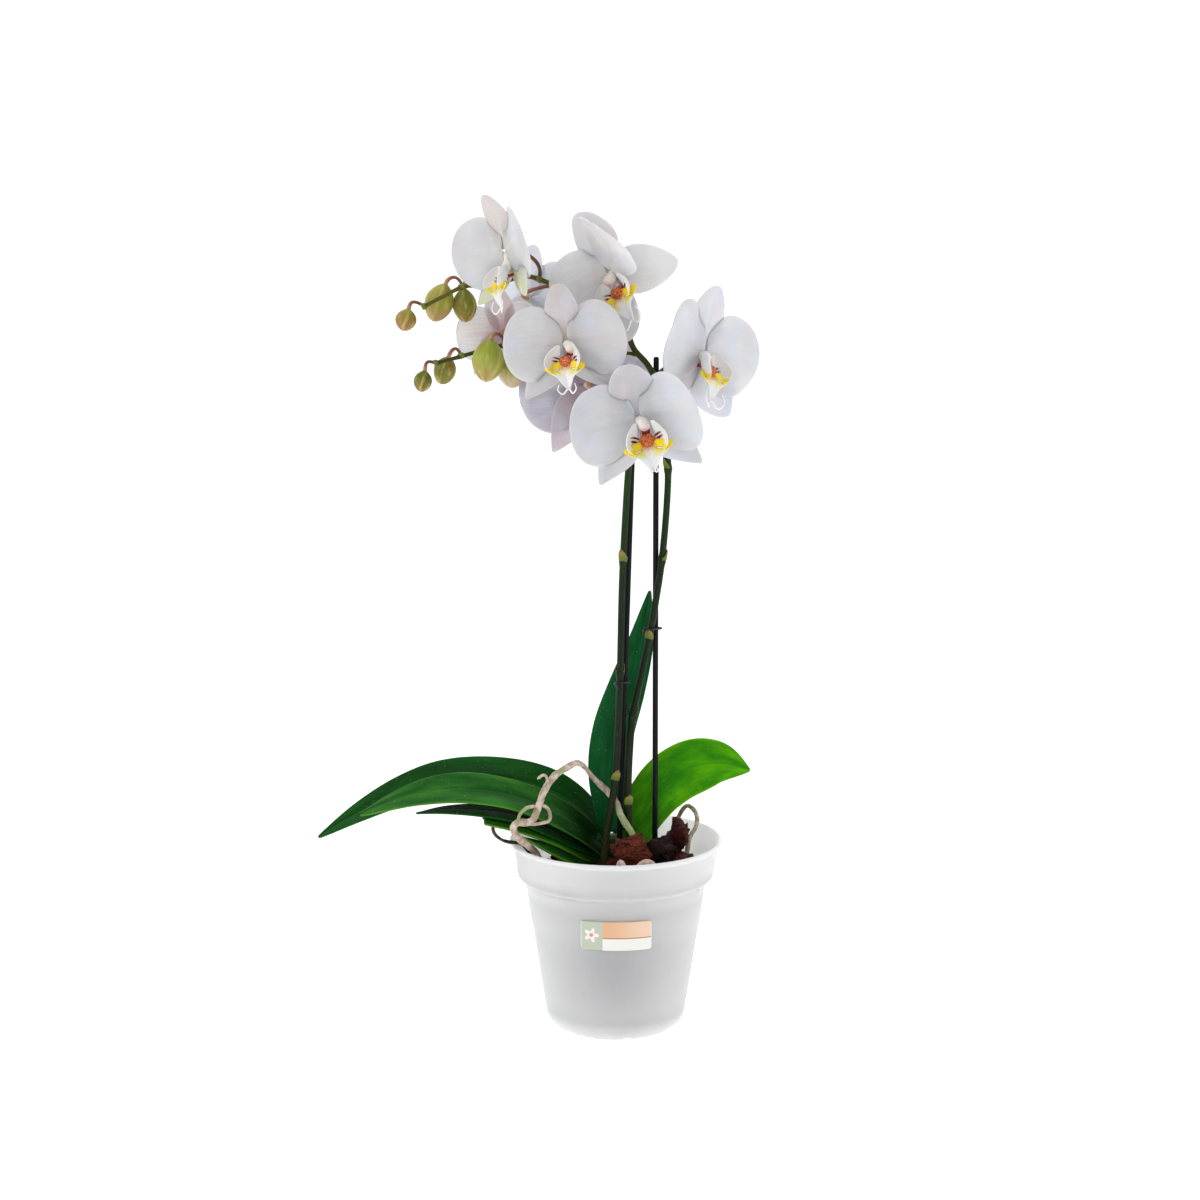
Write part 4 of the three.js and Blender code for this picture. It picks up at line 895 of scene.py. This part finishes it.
def column_radius(share, turn):
    """A cup at the back, a slim neck, a swelling with two wings, and a round cap."""
    if share < 0.36:
        return 1.7 + 1.5 * math.sin(math.pi * share / 0.8) - 0.6 * smooth_step((share - 0.22) / 0.14)
    cap = math.sqrt(max(1 - ((share - 0.82) / 0.18) ** 2, 0.001)) if share > 0.82 else 1
    neck = 2.6 + 0.75 * math.sin(math.pi * (share - 0.36) / 0.74)
    return (neck - 0.3 * math.exp(-((share - 0.8) / 0.03) ** 2)) * cap


for letter, bloom in BLOOMS.items():
    column_mesh = bmesh.new()
    aside = bloom_pose(bloom).to_3x3().inverted() @ Vector(bloom["heart"][:3])
    line = [(0, 4, 0), (0, 1.5, 0), (0, -1.2, 0.2), (0, -4.4, 0.7), (0, -7.6, 0), (0, -10.2, -2)]
    line = [Vector(point) + aside * smooth_step(step / 4) for step, point in enumerate(line)]
    stalk(column_mesh, Route(line), column_radius, 20, 40)
    settle("column_" + letter, column_mesh, [column_skin], "petal", lay=bloom_pose(bloom))

# ---------------------------------------------------------------- lips
# Under the column hangs the lip: a channel that widens into an arrowhead with two thin curled
# tendrils at its tip, two side lobes that stand up like ears, and a callus knob between them.
# Yellow with red lines at its shoulders, white beyond.

LIP_SCALE = 1.35
LIP_THICK = 0.7
CHANNEL = Route([(0, -0.5, -3.07), (0, -6.2, -4.4), (0, -9.4, -7.4), (0, -10.8, -12.5), (0, -10.6, -18.6)])
EAR = [(2.6, -8.6, -9.4), (2.8, -7.6, -7.2), (3.2, -6.4, -3.4), (2.8, -6, 1.8)]
LIP_TIP = (0.4, -10.7, -17.8)
TENDRIL = [(0, 0, 0), (1.9, -1.5, -1.8), (3.8, -1.7, 0), (3.2, -0.9, 2.2)]


def channel_place(u, v):
    s = 2 * u - 1
    shoulders = 5.4 * math.exp(-(abs(v - 0.5) / 0.08) ** 2.6) + 2.6 * math.exp(-((v - 0.61) / 0.06) ** 2)
    half = 1.7 + 3.3 * smooth_step((v - 0.3) / 0.2) - 4.7 * max(v * 2 - 1, 0) ** 1.7 + shoulders
    ahead = CHANNEL.ahead(min(max(v, 0.01), 0.99))
    up = Vector((0, ahead.z, -ahead.y))
    lift = 0.3 * s * s * min(half, 4.5) - 0.45 * math.exp(-(s * half / 0.8) ** 2)
    lift += 0.5 * math.exp(-((abs(s) - 0.6) / 0.2) ** 2) * shoulders / 5
    return CHANNEL.at(v) + Vector((s * half, 0, 0)) + up * lift


def ear_maker(side):
    """A side lobe: a cupped sheet that bends from beside the callus outwards and forward."""
    line = Route(EAR)

    def place(u, v):
        full = math.sin(math.pi * min(0.14 + 0.83 * v, 0.99)) ** 0.6
        bow = math.radians(100) * u
        out = 5.3 * full * math.sin(bow)
        forth = 6.6 * full * (1 - math.cos(bow))
        at = line.at(v)
        return Vector((side * (at.x + out), at.y - forth, at.z + 0.8 * u * (1 - u)))

    return place


lip_skin = Finish("lip skin", 0.4, (0.15, (1, 0.6, 0.3), 2))
across, along = lip_skin.chart()
side = abs(across - 0.5) * 2
smudge = lip_skin.grain(1.2, 4)
sway = (smudge - 0.5) * 0.14
lemon = lip_skin.mix((along + sway - side * 0.09).rise(0.48, 0.55), (242, 212, 10), (222, 216, 24))
middle = lip_skin.ramp(along + sway, (0.3, (150, 40, 26)), (0.42, (182, 84, 36)),
                       (0.5, (206, 150, 92)), (0.6, (226, 220, 202)), (0.67, (230, 230, 232)))
wings = (side + sway).rise(0.14, 0.44) * (along + sway).rise(0.35, 0.43)
wings = wings * (along + side * 0.1 + sway).rise(0.8, 0.62)
slant = abs(along - 0.515 - side * 0.09)
rims = slant.rise(0.024, 0.013) * side.rise(0.24, 0.32) * side.rise(0.9, 0.82)
dash = slant.rise(0.012, 0.007) * side.rise(0.3, 0.36) * side.rise(0.86, 0.8)
lobe = lip_skin.coats(middle, (wings, lemon), (rims * 0.75, (160, 84, 34)), (dash, (232, 226, 232)))
lip_skin.feed(lobe, 0.4 + smudge * 0.15, smudge, 0.1)

ear_skin = Finish("lip ear skin", 0.35, (0.18, (1, 0.8, 0.8), 2))
across, along = ear_skin.chart()
smudge = ear_skin.grain(1.2)
bars = (along * 6.4 - across * 2.4 + smudge * 0.6).zigzag()
bars = bars.rise(0.34, 0.22) * along.rise(0.1, 0.18) * along.rise(0.62, 0.5)
ear = ear_skin.coats((233, 233, 233), ((along + smudge * 0.1).rise(0.3, 0.16), (238, 220, 50)),
                     (bars * across.rise(0.52, 0.34), (128, 8, 24)))
ear_skin.feed(ear, 0.42 + smudge * 0.12, smudge, 0.06)

callus_skin = Finish("lip callus skin", 0.6, (0.1, (1, 0.4, 0.1), 1))
dots = callus_skin.grain(0.9)
knob = callus_skin.ramp(dots, (0.3, (96, 14, 14)), (0.44, (164, 54, 16)), (0.56, (206, 100, 22)),
                        (0.72, (222, 150, 44)))
callus_skin.feed(knob, 0.3 + dots * 0.2, dots, 0.15)

tendril_skin = Finish("lip tendril skin", 0.4, (0.2, (1, 0.9, 0.9), 1))
dots = tendril_skin.grain(1.2, 2)
pale = tendril_skin.coats((246, 245, 240), (tendril_skin.chart()[1].rise(0.0, 0.6), (248, 248, 251)),
                          (dots.rise(0.55, 0.8) * 0.3, (224, 206, 214)))
tendril_skin.feed(pale, 0.4 + dots * 0.1, dots, 0.04)

for letter, bloom in BLOOMS.items():
    hang = heart_pose(bloom) @ Matrix.Scale(LIP_SCALE, 4)
    thick = LIP_THICK * LIP_SCALE * bloom["size"]

    lip_mesh = bmesh.new()
    formed(lip_mesh, 16, 26, channel_place)
    settle("lip_lobe_" + letter, lip_mesh, [lip_skin], "lip", "lip_" + letter,
           lay=hang, thick=thick, rounds=1)

    ear_mesh = bmesh.new()
    for side in (-1, 1):
        formed(ear_mesh, 10, 14, ear_maker(side))
    settle("lip_ears_" + letter, ear_mesh, [ear_skin], "lip", lay=hang, thick=thick * 0.8, rounds=1)

    callus_mesh = bmesh.new()
    for corner in bmesh.ops.create_uvsphere(callus_mesh, u_segments=20, v_segments=14, radius=1)["verts"]:
        cleft = 0.3 * math.exp(-(corner.co.x / 0.3) ** 2) * max(corner.co.z - corner.co.y, 0)
        bumps = 0.08 * noise.noise(corner.co * 3)
        corner.co = corner.co * (1 + bumps - cleft * 0.6)
        corner.co = Vector((corner.co.x * 3.3, corner.co.y * 2.2 - 8.4, corner.co.z * 2.9 - 5.5))
    settle("lip_callus_" + letter, callus_mesh, [callus_skin], "lip", lay=hang)

    tendril_mesh = bmesh.new()
    for side in (-1, 1):
        points = [Vector(LIP_TIP) + bloom["curl"] * Vector(part) for part in TENDRIL]
        curl = Route([(side * x, y, z) for x, y, z in points])
        stalk(tendril_mesh, curl, lambda share, turn: 0.5 - 0.24 * share, 8, 24)
    settle("lip_tendrils_" + letter, tendril_mesh, [tendril_skin], "lip", lay=hang)

# ---------------------------------------------------------------- buds
# Seven closed buds at the ends of the spikes. Three sepals meet along faint seams, with fine
# ribs between them, and each bud is greenest at its stalk.


def bud_finish(name, tones):
    """Bud skin: three colours from the stalk to the tip, pale and green streaks, ribs, and a
    brownish rub."""
    skin = Finish(name, 0.4, (0.15, (1, 0.9, 0.4), 3))
    across, along = skin.chart()
    ribs = (across * 18).zigzag() * 2
    cloud = skin.grain(5, 4)
    streaks = skin.strands(13, 1.6)
    colour = skin.coats(
        skin.ramp(along + cloud * 0.3 - 0.15, *zip((0.12, 0.5, 0.95), tones)),
        (streaks.rise(0.5, 0.66) * 0.55, (206, 200, 112)),
        (streaks.rise(0.46, 0.32) * 0.5, (112, 122, 16)),
        (cloud.rise(0.5, 0.7) * 0.4, (182, 124, 92)),
        (ribs.rise(0.22, 0.0) * 0.12, (112, 92, 34)),
    )
    skin.feed(colour, 0.4 + cloud * 0.2, ribs * 0.7 + skin.grain(0.6, 2) * 0.3, 0.2)
    return skin


for letter, bud in BUDS.items():
    width, length = bud["size"]

    def bud_place(u, v):
        turn = 2 * math.pi * u
        full = math.sin(math.pi * min(max(v, 0.001), 0.999)) ** (0.64 - 0.14 * v)
        seam = min(abs((turn * 1.5 / math.pi + k) % 3 - 1.5) for k in (0, 1, 2))
        ridge = 1.05 - 0.07 * math.exp(-(seam / 0.12) ** 2) - 0.033 * seam + 0.012 * math.cos(18 * turn)
        radius = width / 2 * full * ridge * (1 + 0.05 * math.cos(turn) * v)
        return radius * math.cos(turn), radius * math.sin(turn), (v - 0.5) * length

    bud_mesh = bmesh.new()
    formed(bud_mesh, 54, 26, bud_place)
    bmesh.ops.remove_doubles(bud_mesh, verts=bud_mesh.verts, dist=0.12)
    bmesh.ops.recalc_face_normals(bud_mesh, faces=bud_mesh.faces)
    down = Vector((0, 0, 1)).rotation_difference(Vector(bud["tip"])).to_matrix().to_4x4()
    skin = bud_finish("bud skin " + letter, bud["tones"])
    settle("bud_" + letter + "_skin", bud_mesh, [skin], "bud", "bud_" + letter,
           lay=Matrix.Translation(bud["at"]) @ down)

# ---------------------------------------------------------------- leaves
# Thick strap leaves fan out of the crown, each folded along its midrib, glossy green with fine
# lengthwise veins. They are sheets set along their midribs. One is torn off at its end.


def leaf_finish(name, tones, gloss, shade):
    """Leaf skin: deep green, a brighter green in long clouds, a painted highlight along its edges,
    and painted shade: a share of darker green towards the crown."""
    deep, bright, glow = tones
    skin = Finish(name, 0.06, (0.05, (0.6, 1, 0.3), 3))
    across, along = skin.chart()
    side = abs(across - 0.5) * 2
    clouds = skin.strands(2.2, 3.2, 4)
    veins = skin.strands(46, 1.6)
    colour = skin.coats(
        deep,
        (clouds.rise(0.35, 0.68), bright),
        (veins.rise(0.5, 0.66) * 0.22, bright),
        (veins.rise(0.48, 0.34) * 0.25, deep),
        # Painted shade: darker green towards the crown, by the leaf's share of shade.
        (along.rise(0.46, 0.06) * shade, (2, 26, 5)),
        # Painted highlight along the edges.
        (side.rise(0.9, 1.0) * 0.5, glow),
        (side.rise(0.06, 0.0) * 0.5, deep),
        (skin.grain(0.9, 2).rise(0.7, 0.75) * 0.7, (180, 196, 150)),
    )
    height = veins * 0.35 - side.rise(0.16, 0.0) * 0.9 + clouds * 0.8
    skin.feed(colour, gloss + clouds * 0.14, height, 0.5)
    return skin


LEAF_THICK = 1.5
# Each leaf: its midrib, the way to its near edge, its half width and where it is widest, how far
# it folds, how far that edge hangs at the crown, how wide and how ragged its end is, and its look:
# its deep, bright and painted edge highlight colours, its gloss, and its share of painted shade
# towards the crown.
LEAVES = {
    "upper_left": dict(
        line=[(-8.3, 10, 115), (-20, 13, 131), (-36, 14.5, 142.5), (-56, 15, 149.5), (-84, 16, 152.8),
              (-110, 16, 150.5), (-134, 13, 143), (-158, 8, 132), (-183, 1, 118)],
        side=(0, -1, -0.42), half=19, widest=0.5, fold=0.06, clasp=0.5, slot="leaf_dark",
        tones=((1, 56, 4), (3, 88, 12), (20, 110, 16)), gloss=0.38, shade=0.4),
    "front_left": dict(
        line=[(-8.4, 8, 110.5), (-19, -2, 123), (-40, -14, 139.5), (-66, -23, 151.5), (-94, -26, 155.5),
              (-118, -26, 152.5), (-137, -24, 146), (-155, -18, 137)],
        side=(0, -1, -0.45), half=14.8, widest=0.55, fold=0.05, clasp=0.45, slot="leaf_light",
        tones=((12, 78, 16), (54, 122, 38), (92, 150, 48)), gloss=0.4, shade=0.9),
    "thin_left": dict(
        line=[(-8.4, 6, 106.8), (-21, -6.5, 115.5), (-42, -18.5, 129), (-61, -25, 138.5),
              (-82, -28.5, 142.5), (-103, -29, 143), (-120.4, -27, 140.5)],
        side=(0, -1, -0.34), half=8, widest=0.5, fold=0.06, clasp=0.4, slot="leaf_dark",
        tones=((1, 42, 8), (5, 72, 16), (24, 92, 18)), gloss=0.45, shade=0.6),
    "torn_left": dict(
        line=[(-8.6, 4, 103.6), (-20, -9, 110.5), (-38, -20.5, 123), (-57, -28, 132), (-78.6, -33, 137.2)],
        side=(0, -1, -0.35), half=6.5, widest=0.6, fold=0.08, clasp=0.4, tip=0.5, torn=3.2,
        slot="leaf_light",
        tones=((14, 66, 8), (40, 104, 16), (110, 160, 40)), gloss=0.42, shade=0.7),
    "low_left": dict(
        line=[(-13, -1.5, 103.4), (-19.5, -12, 106), (-28, -21, 111), (-40, -28.5, 118.5),
              (-57, -32.5, 127.5)],
        side=(0.2, -1, -0.4), half=6.5, widest=0.4, fold=0.12, clasp=0.4, slot="leaf_dark",
        tones=((4, 52, 10), (20, 88, 16), (110, 168, 30)), gloss=0.4, shade=0.6),
    "upright": dict(
        line=[(-1.5, 9, 119.4), (-5.2, 12, 150), (-2.2, 15, 180), (6.4, 17, 208), (15.4, 18, 238),
              (21, 18.5, 269)],
        side=(1, -0.15, 0), half=13.2, widest=0.36, fold=-0.3, slot="leaf_dark",
        tones=((8, 72, 32), (20, 94, 46), (40, 116, 56)), gloss=0.36, shade=0),
    "right": dict(
        line=[(6.4, 14, 108), (15.4, 20, 126), (29, 23, 144.5), (45, 24.5, 155.5), (63, 24, 159.5),
              (83.5, 20, 156)],
        side=(0.14, -0.36, -0.92), half=17.5, widest=0.6, fold=0.12, slot="leaf_light",
        tones=((38, 130, 6), (94, 184, 10), (144, 204, 24)), gloss=0.4, shade=0.3),
}


def leaf_maker(seed, line, side, half, widest, fold, clasp=0, tip=0.04, torn=0):
    """How a leaf lies: along its midrib, with its near edge to the given side. Towards the crown
    that edge hangs lower, by clasp, and the leaf stays broad."""
    midrib = Route(line)

    def place(u, v):
        s = 2 * u - 1
        rise = min(v / widest, 1)
        fall = max((v - widest) / (1 - widest), 0)
        reach = half * (0.58 + 0.42 * math.sin(math.pi / 2 * rise))
        reach *= (1 - (1 - tip) * fall ** 2.2) * (1 + 0.02 * noise.noise(Vector((s, v * 5, seed))))
        ahead = midrib.ahead(v)
        near = Vector(side) - Vector((0, 0, clasp * (1 - smooth_step(v * 2))))
        across = (near - ahead * near.dot(ahead)).normalized()
        up = across.cross(ahead).normalized()
        sense = -1 if up.z < -0.3 else 1
        soft = math.sqrt(s * s + 0.012) - 0.11
        wave = 0.7 * noise.noise(Vector((s * 0.8, v * 3.2, seed + 3)))
        lift = sense * fold * soft * reach
        spot = midrib.at(v) + across * s * reach + up * (lift + wave)
        jag = torn * noise.noise(Vector((s * 3.4, 0, seed))) * smooth_step((v - 0.86) / 0.14)
        return spot + ahead * jag

    return place


for number, (name, leaf) in enumerate(LEAVES.items()):
    slot, *look = [leaf.pop(key) for key in ("slot", "tones", "gloss", "shade")]
    skin = leaf_finish(name.replace("_", " ") + " leaf skin", *look)
    leaf_mesh = bmesh.new()
    formed(leaf_mesh, 24, 72, leaf_maker(number * 5 + 0.5, **leaf))
    settle("leaf_" + name + "_blade", leaf_mesh, [skin], slot, "leaf_" + name,
           thick=LEAF_THICK, rounds=1)

# ---------------------------------------------------------------- crown
# The short stem that the leaves and spikes grow from stands in the bark, wrapped in the pale
# green feet of the leaves. It is a round stalk with shallow folds.

crown_skin = Finish("crown skin", 0.4)
folds = crown_skin.strands(18, 2)
sheath = crown_skin.ramp(crown_skin.chart()[1] + folds * 0.2 - 0.1,
                         (0.3, (40, 34, 18)), (0.6, (20, 44, 12)), (1.0, (30, 66, 16)))
crown_skin.feed(sheath, 0.45 + folds * 0.2, folds, 0.4)
crown_mesh = bmesh.new()
stalk(crown_mesh, Route([(-1, 8, 84), (-1, 8, 96), (-1, 8, 108), (-1, 8, 118)]),
      lambda share, turn: 6.1 - 0.7 * share + 0.2 * math.cos(2 * turn) * share, 28, 24)
settle("crown_stem", crown_mesh, [crown_skin], "leaf_light", "crown", rounds=1)

# ---------------------------------------------------------------- aerial roots
# Four thick roots climb out of the bark and back into it, one in a tall arch with a hooked tip
# and a loop. They are uneven tubes with a dull silvery skin, green where it is thin.

# Each root: its radius, where it narrows (a share of its length, and 2 is nowhere), how far it is
# mossy, its three colours, its line, and its branches, each with a radius of its own.
ROOTS = {
    "arch": dict(slot="root", radius=2.1, waist=0.4, mossy=0.24,
                 tones=((224, 206, 194), (178, 158, 138), (146, 168, 104)),
                 line=[
        (13.6, -25.5, 98), (13.2, -24.6, 112), (11.1, -22, 123.5), (8.5, -19, 128.1), (5.1, -14.5, 132.2),
        (2.5, -10, 136.4), (0.4, -5.4, 141.4), (-4, -3, 147), (-10.5, -5, 153.9), (-14.9, -10, 159.6),
        (-17.5, -13.5, 164), (-20.4, -17, 168), (-23.9, -20, 170), (-27.7, -23, 168.9), (-31.9, -26, 167),
        (-36.2, -29, 164.7), (-39.5, -32, 161.5), (-42, -35, 158.2), (-44.2, -37.5, 154),
        (-45.4, -39.5, 150.1), (-47.1, -41.5, 145.5), (-49.5, -43.5, 141), (-53, -44.5, 139.4),
        (-58.4, -45, 139.5), (-61, -44.5, 137), (-60.3, -42, 132), (-56.6, -38, 126.5), (-52.5, -33, 121.9),
        (-48.4, -28, 116.2), (-43.5, -26, 106), (-39, -24, 95)], branches=[
        (0.95, [(-42, -35, 158.2), (-41.2, -35.5, 163.4), (-42.6, -36, 166.3), (-45, -36.5, 165.6),
                (-47.1, -37, 164)]),
        (1.05, [(-58.6, -45, 139.8), (-57.1, -46, 144.8), (-53.7, -45, 148.1), (-49.5, -43, 148.9),
                (-45.4, -40, 148.6), (-43.2, -37, 147.8), (-40.5, -37, 145.6), (-39.4, -38, 141.9),
                (-40.1, -40, 139.4), (-43.4, -42.5, 138.7), (-48.4, -45, 138.6), (-53.4, -45.6, 138.8)])]),
    "left": dict(slot="root_dark", radius=1.05, waist=2, mossy=0,
                 tones=((92, 88, 66), (52, 44, 34), (92, 108, 70)),
                 line=[
        (-44, -13, 92), (-48.5, -15, 104), (-53.5, -17, 114.5), (-57.8, -18.8, 119.4), (-61.6, -20.3, 120.6),
        (-65.8, -22, 121.6), (-69.8, -24.5, 124), (-73, -27, 127.7), (-74, -29, 132), (-73, -30.5, 134.4)],
        branches=[]),
    "right": dict(slot="root", radius=1.35, waist=2, mossy=0,
                  tones=((196, 186, 166), (150, 132, 110), (132, 142, 96)),
                  line=[
        (34, 27, 92), (35, 27, 104), (37.4, 26.5, 118), (41, 25, 128), (44.4, 22.5, 132.6),
        (47.4, 19, 132.2),
        (49.3, 16, 130.4), (50.5, 13, 126.8), (49.5, 8, 122.7), (46.6, 3, 119.5), (44.5, -2, 114.5),
        (43, -6, 104), (42.4, -9, 94)], branches=[]),
    "front": dict(slot="root", radius=1.7, waist=2, mossy=0,
                  tones=((236, 216, 206), (206, 180, 168), (150, 160, 120)),
                  line=[
        (12, -40, 92), (12.6, -41, 104), (14, -42, 112), (17.8, -42.6, 114.6), (21.6, -42, 113.4),
        (24.4, -40.4, 107), (25.6, -39, 96)], branches=[
        (1.4, [(-0.5, -36, 96), (0.6, -37, 107), (2.6, -38.4, 113.6), (4.8, -39.6, 111), (5.8, -40, 102)])]),
}


def root_finish(name, tones, mossy):
    """Root skin: pale and dull patches, green in its mossy first share, wrinkled and dusty."""
    pale, dull, green = tones
    skin = Finish(name, 0.3)
    patches = skin.grain(5, 5, rough=0.6, bend=0.4)
    fine = skin.grain(0.9, 4, rough=0.65)
    moss = skin.chart()[1].rise(mossy + 0.06, mossy - 0.06) * patches.rise(0.2, 0.5)
    colour = skin.coats(
        pale,
        (patches.rise(0.38, 0.58), dull),
        (skin.grain(11, 2, (1, 1, 0.5)).rise(0.6, 0.74) * 0.6, green),
        (moss * 0.8, green),
        (fine.rise(0.58, 0.72) * 0.6, (96, 74, 60)),
        (fine.rise(0.36, 0.26) * 0.5, (228, 222, 212)),
    )
    skin.feed(colour, 0.62 + fine * 0.25, fine * 0.6 + patches * 0.8, 0.6)
    return skin


for number, (name, root) in enumerate(ROOTS.items()):
    root_mesh = bmesh.new()
    for order, (radius, line) in enumerate([(root["radius"], root["line"]), *root["branches"]]):
        route = Route(line)
        length = route.reach[-1]

        def root_radius(share, turn):
            bulge = 0.18 * noise.noise(Vector((share * length / 7, order, number)))
            knob = 0.12 * noise.noise(Vector((share * length / 2.2, math.cos(turn), math.sin(turn))))
            tip = min(1, math.sqrt(max((1 - share) * length / radius / 1.3, 0.015)))
            narrow = 1 - 0.36 * math.exp(-((share - root["waist"]) / 0.06) ** 2)
            return radius * (1 + bulge + knob) * tip * narrow

        stalk(root_mesh, route, root_radius, 16, int(length * 1.1))
    skin = root_finish(name + " root skin", root["tones"], root["mossy"])
    settle("root_" + name + "_skin", root_mesh, [skin], root["slot"], "root_" + name)

# ---------------------------------------------------------------- studio
# A white paper sweep that runs from under the pot up behind it and shines a little, soft lamps
# on both sides, in front and above, and an even white surround.

SWEEP_WIDTH = 12000
SWEEP_FRONT = 4000  # how far the paper lies in front of the pot
SWEEP_FLOOR = 5200  # how much of its length lies flat
SWEEP_BEND = 1200
SWEEP_LENGTH = 9500


def sweep_place(u, v):
    run = SWEEP_LENGTH * v
    across = (u - 0.5) * SWEEP_WIDTH
    if run < SWEEP_FLOOR:
        return across, run - SWEEP_FRONT, 0
    turn = min((run - SWEEP_FLOOR) / SWEEP_BEND, math.pi / 2)
    above = max(run - SWEEP_FLOOR - SWEEP_BEND * math.pi / 2, 0)
    behind = SWEEP_FLOOR - SWEEP_FRONT + SWEEP_BEND * math.sin(turn)
    return across, behind, SWEEP_BEND * (1 - math.cos(turn)) + above


sweep_mesh = bmesh.new()
formed(sweep_mesh, 8, 120, sweep_place)
bmesh.ops.scale(sweep_mesh, vec=(0.001, 0.001, 0.001), verts=sweep_mesh.verts)
sweep_data = bpy.data.meshes.new("paper_sweep")
sweep_mesh.to_mesh(sweep_data)
sweep_mesh.free()
sweep_data.shade_smooth()
paper = Finish("studio paper", 0.1, roughness=0.9, emission_color=(1, 1, 1, 1), emission_strength=0.5)
paper.join(0.8 - paper.grain(4, 2) * 0.0024, paper.shader.inputs["Base Color"])
sweep_data.materials.append(paper.material)
sweep = bpy.data.objects.new("paper_sweep", sweep_data)
bpy.context.scene.collection.objects.link(sweep)


def lamp(name, at, aim, size, watts):
    """A square soft lamp that shines from one place to another, in metres."""
    light = bpy.data.lights.new(name, "AREA")
    light.size = size
    light.energy = watts
    holder = bpy.data.objects.new(name, light)
    holder.location = at
    holder.rotation_euler = (Vector(aim) - Vector(at)).to_track_quat("-Z", "Y").to_euler()
    bpy.context.scene.collection.objects.link(holder)


lamp("left_softbox", (-1.8, -0.7, 1.4), (0, 0, 0.3), 0.9, 18)
lamp("right_softbox", (1.8, -0.4, 1.1), (0, 0, 0.3), 0.9, 12)
lamp("front_softbox", (-0.6, -2.2, 1.7), (0, 0, 0.3), 0.9, 5)
lamp("low_softbox", (0.3, -2.2, 0.35), (0, 0, 0.1), 0.8, 3.5)
lamp("top_softbox", (0, 0.3, 2.0), (0, 0, 0.2), 1.0, 9)

surround = bpy.context.scene.world or bpy.data.worlds.new("surround")
bpy.context.scene.world = surround
surround.use_nodes = True
surround.node_tree.nodes["Background"].inputs["Color"].default_value = (1, 1, 1, 1)
surround.node_tree.nodes["Background"].inputs["Strength"].default_value = 0.3
bpy.context.scene.view_settings.view_transform = "Standard"
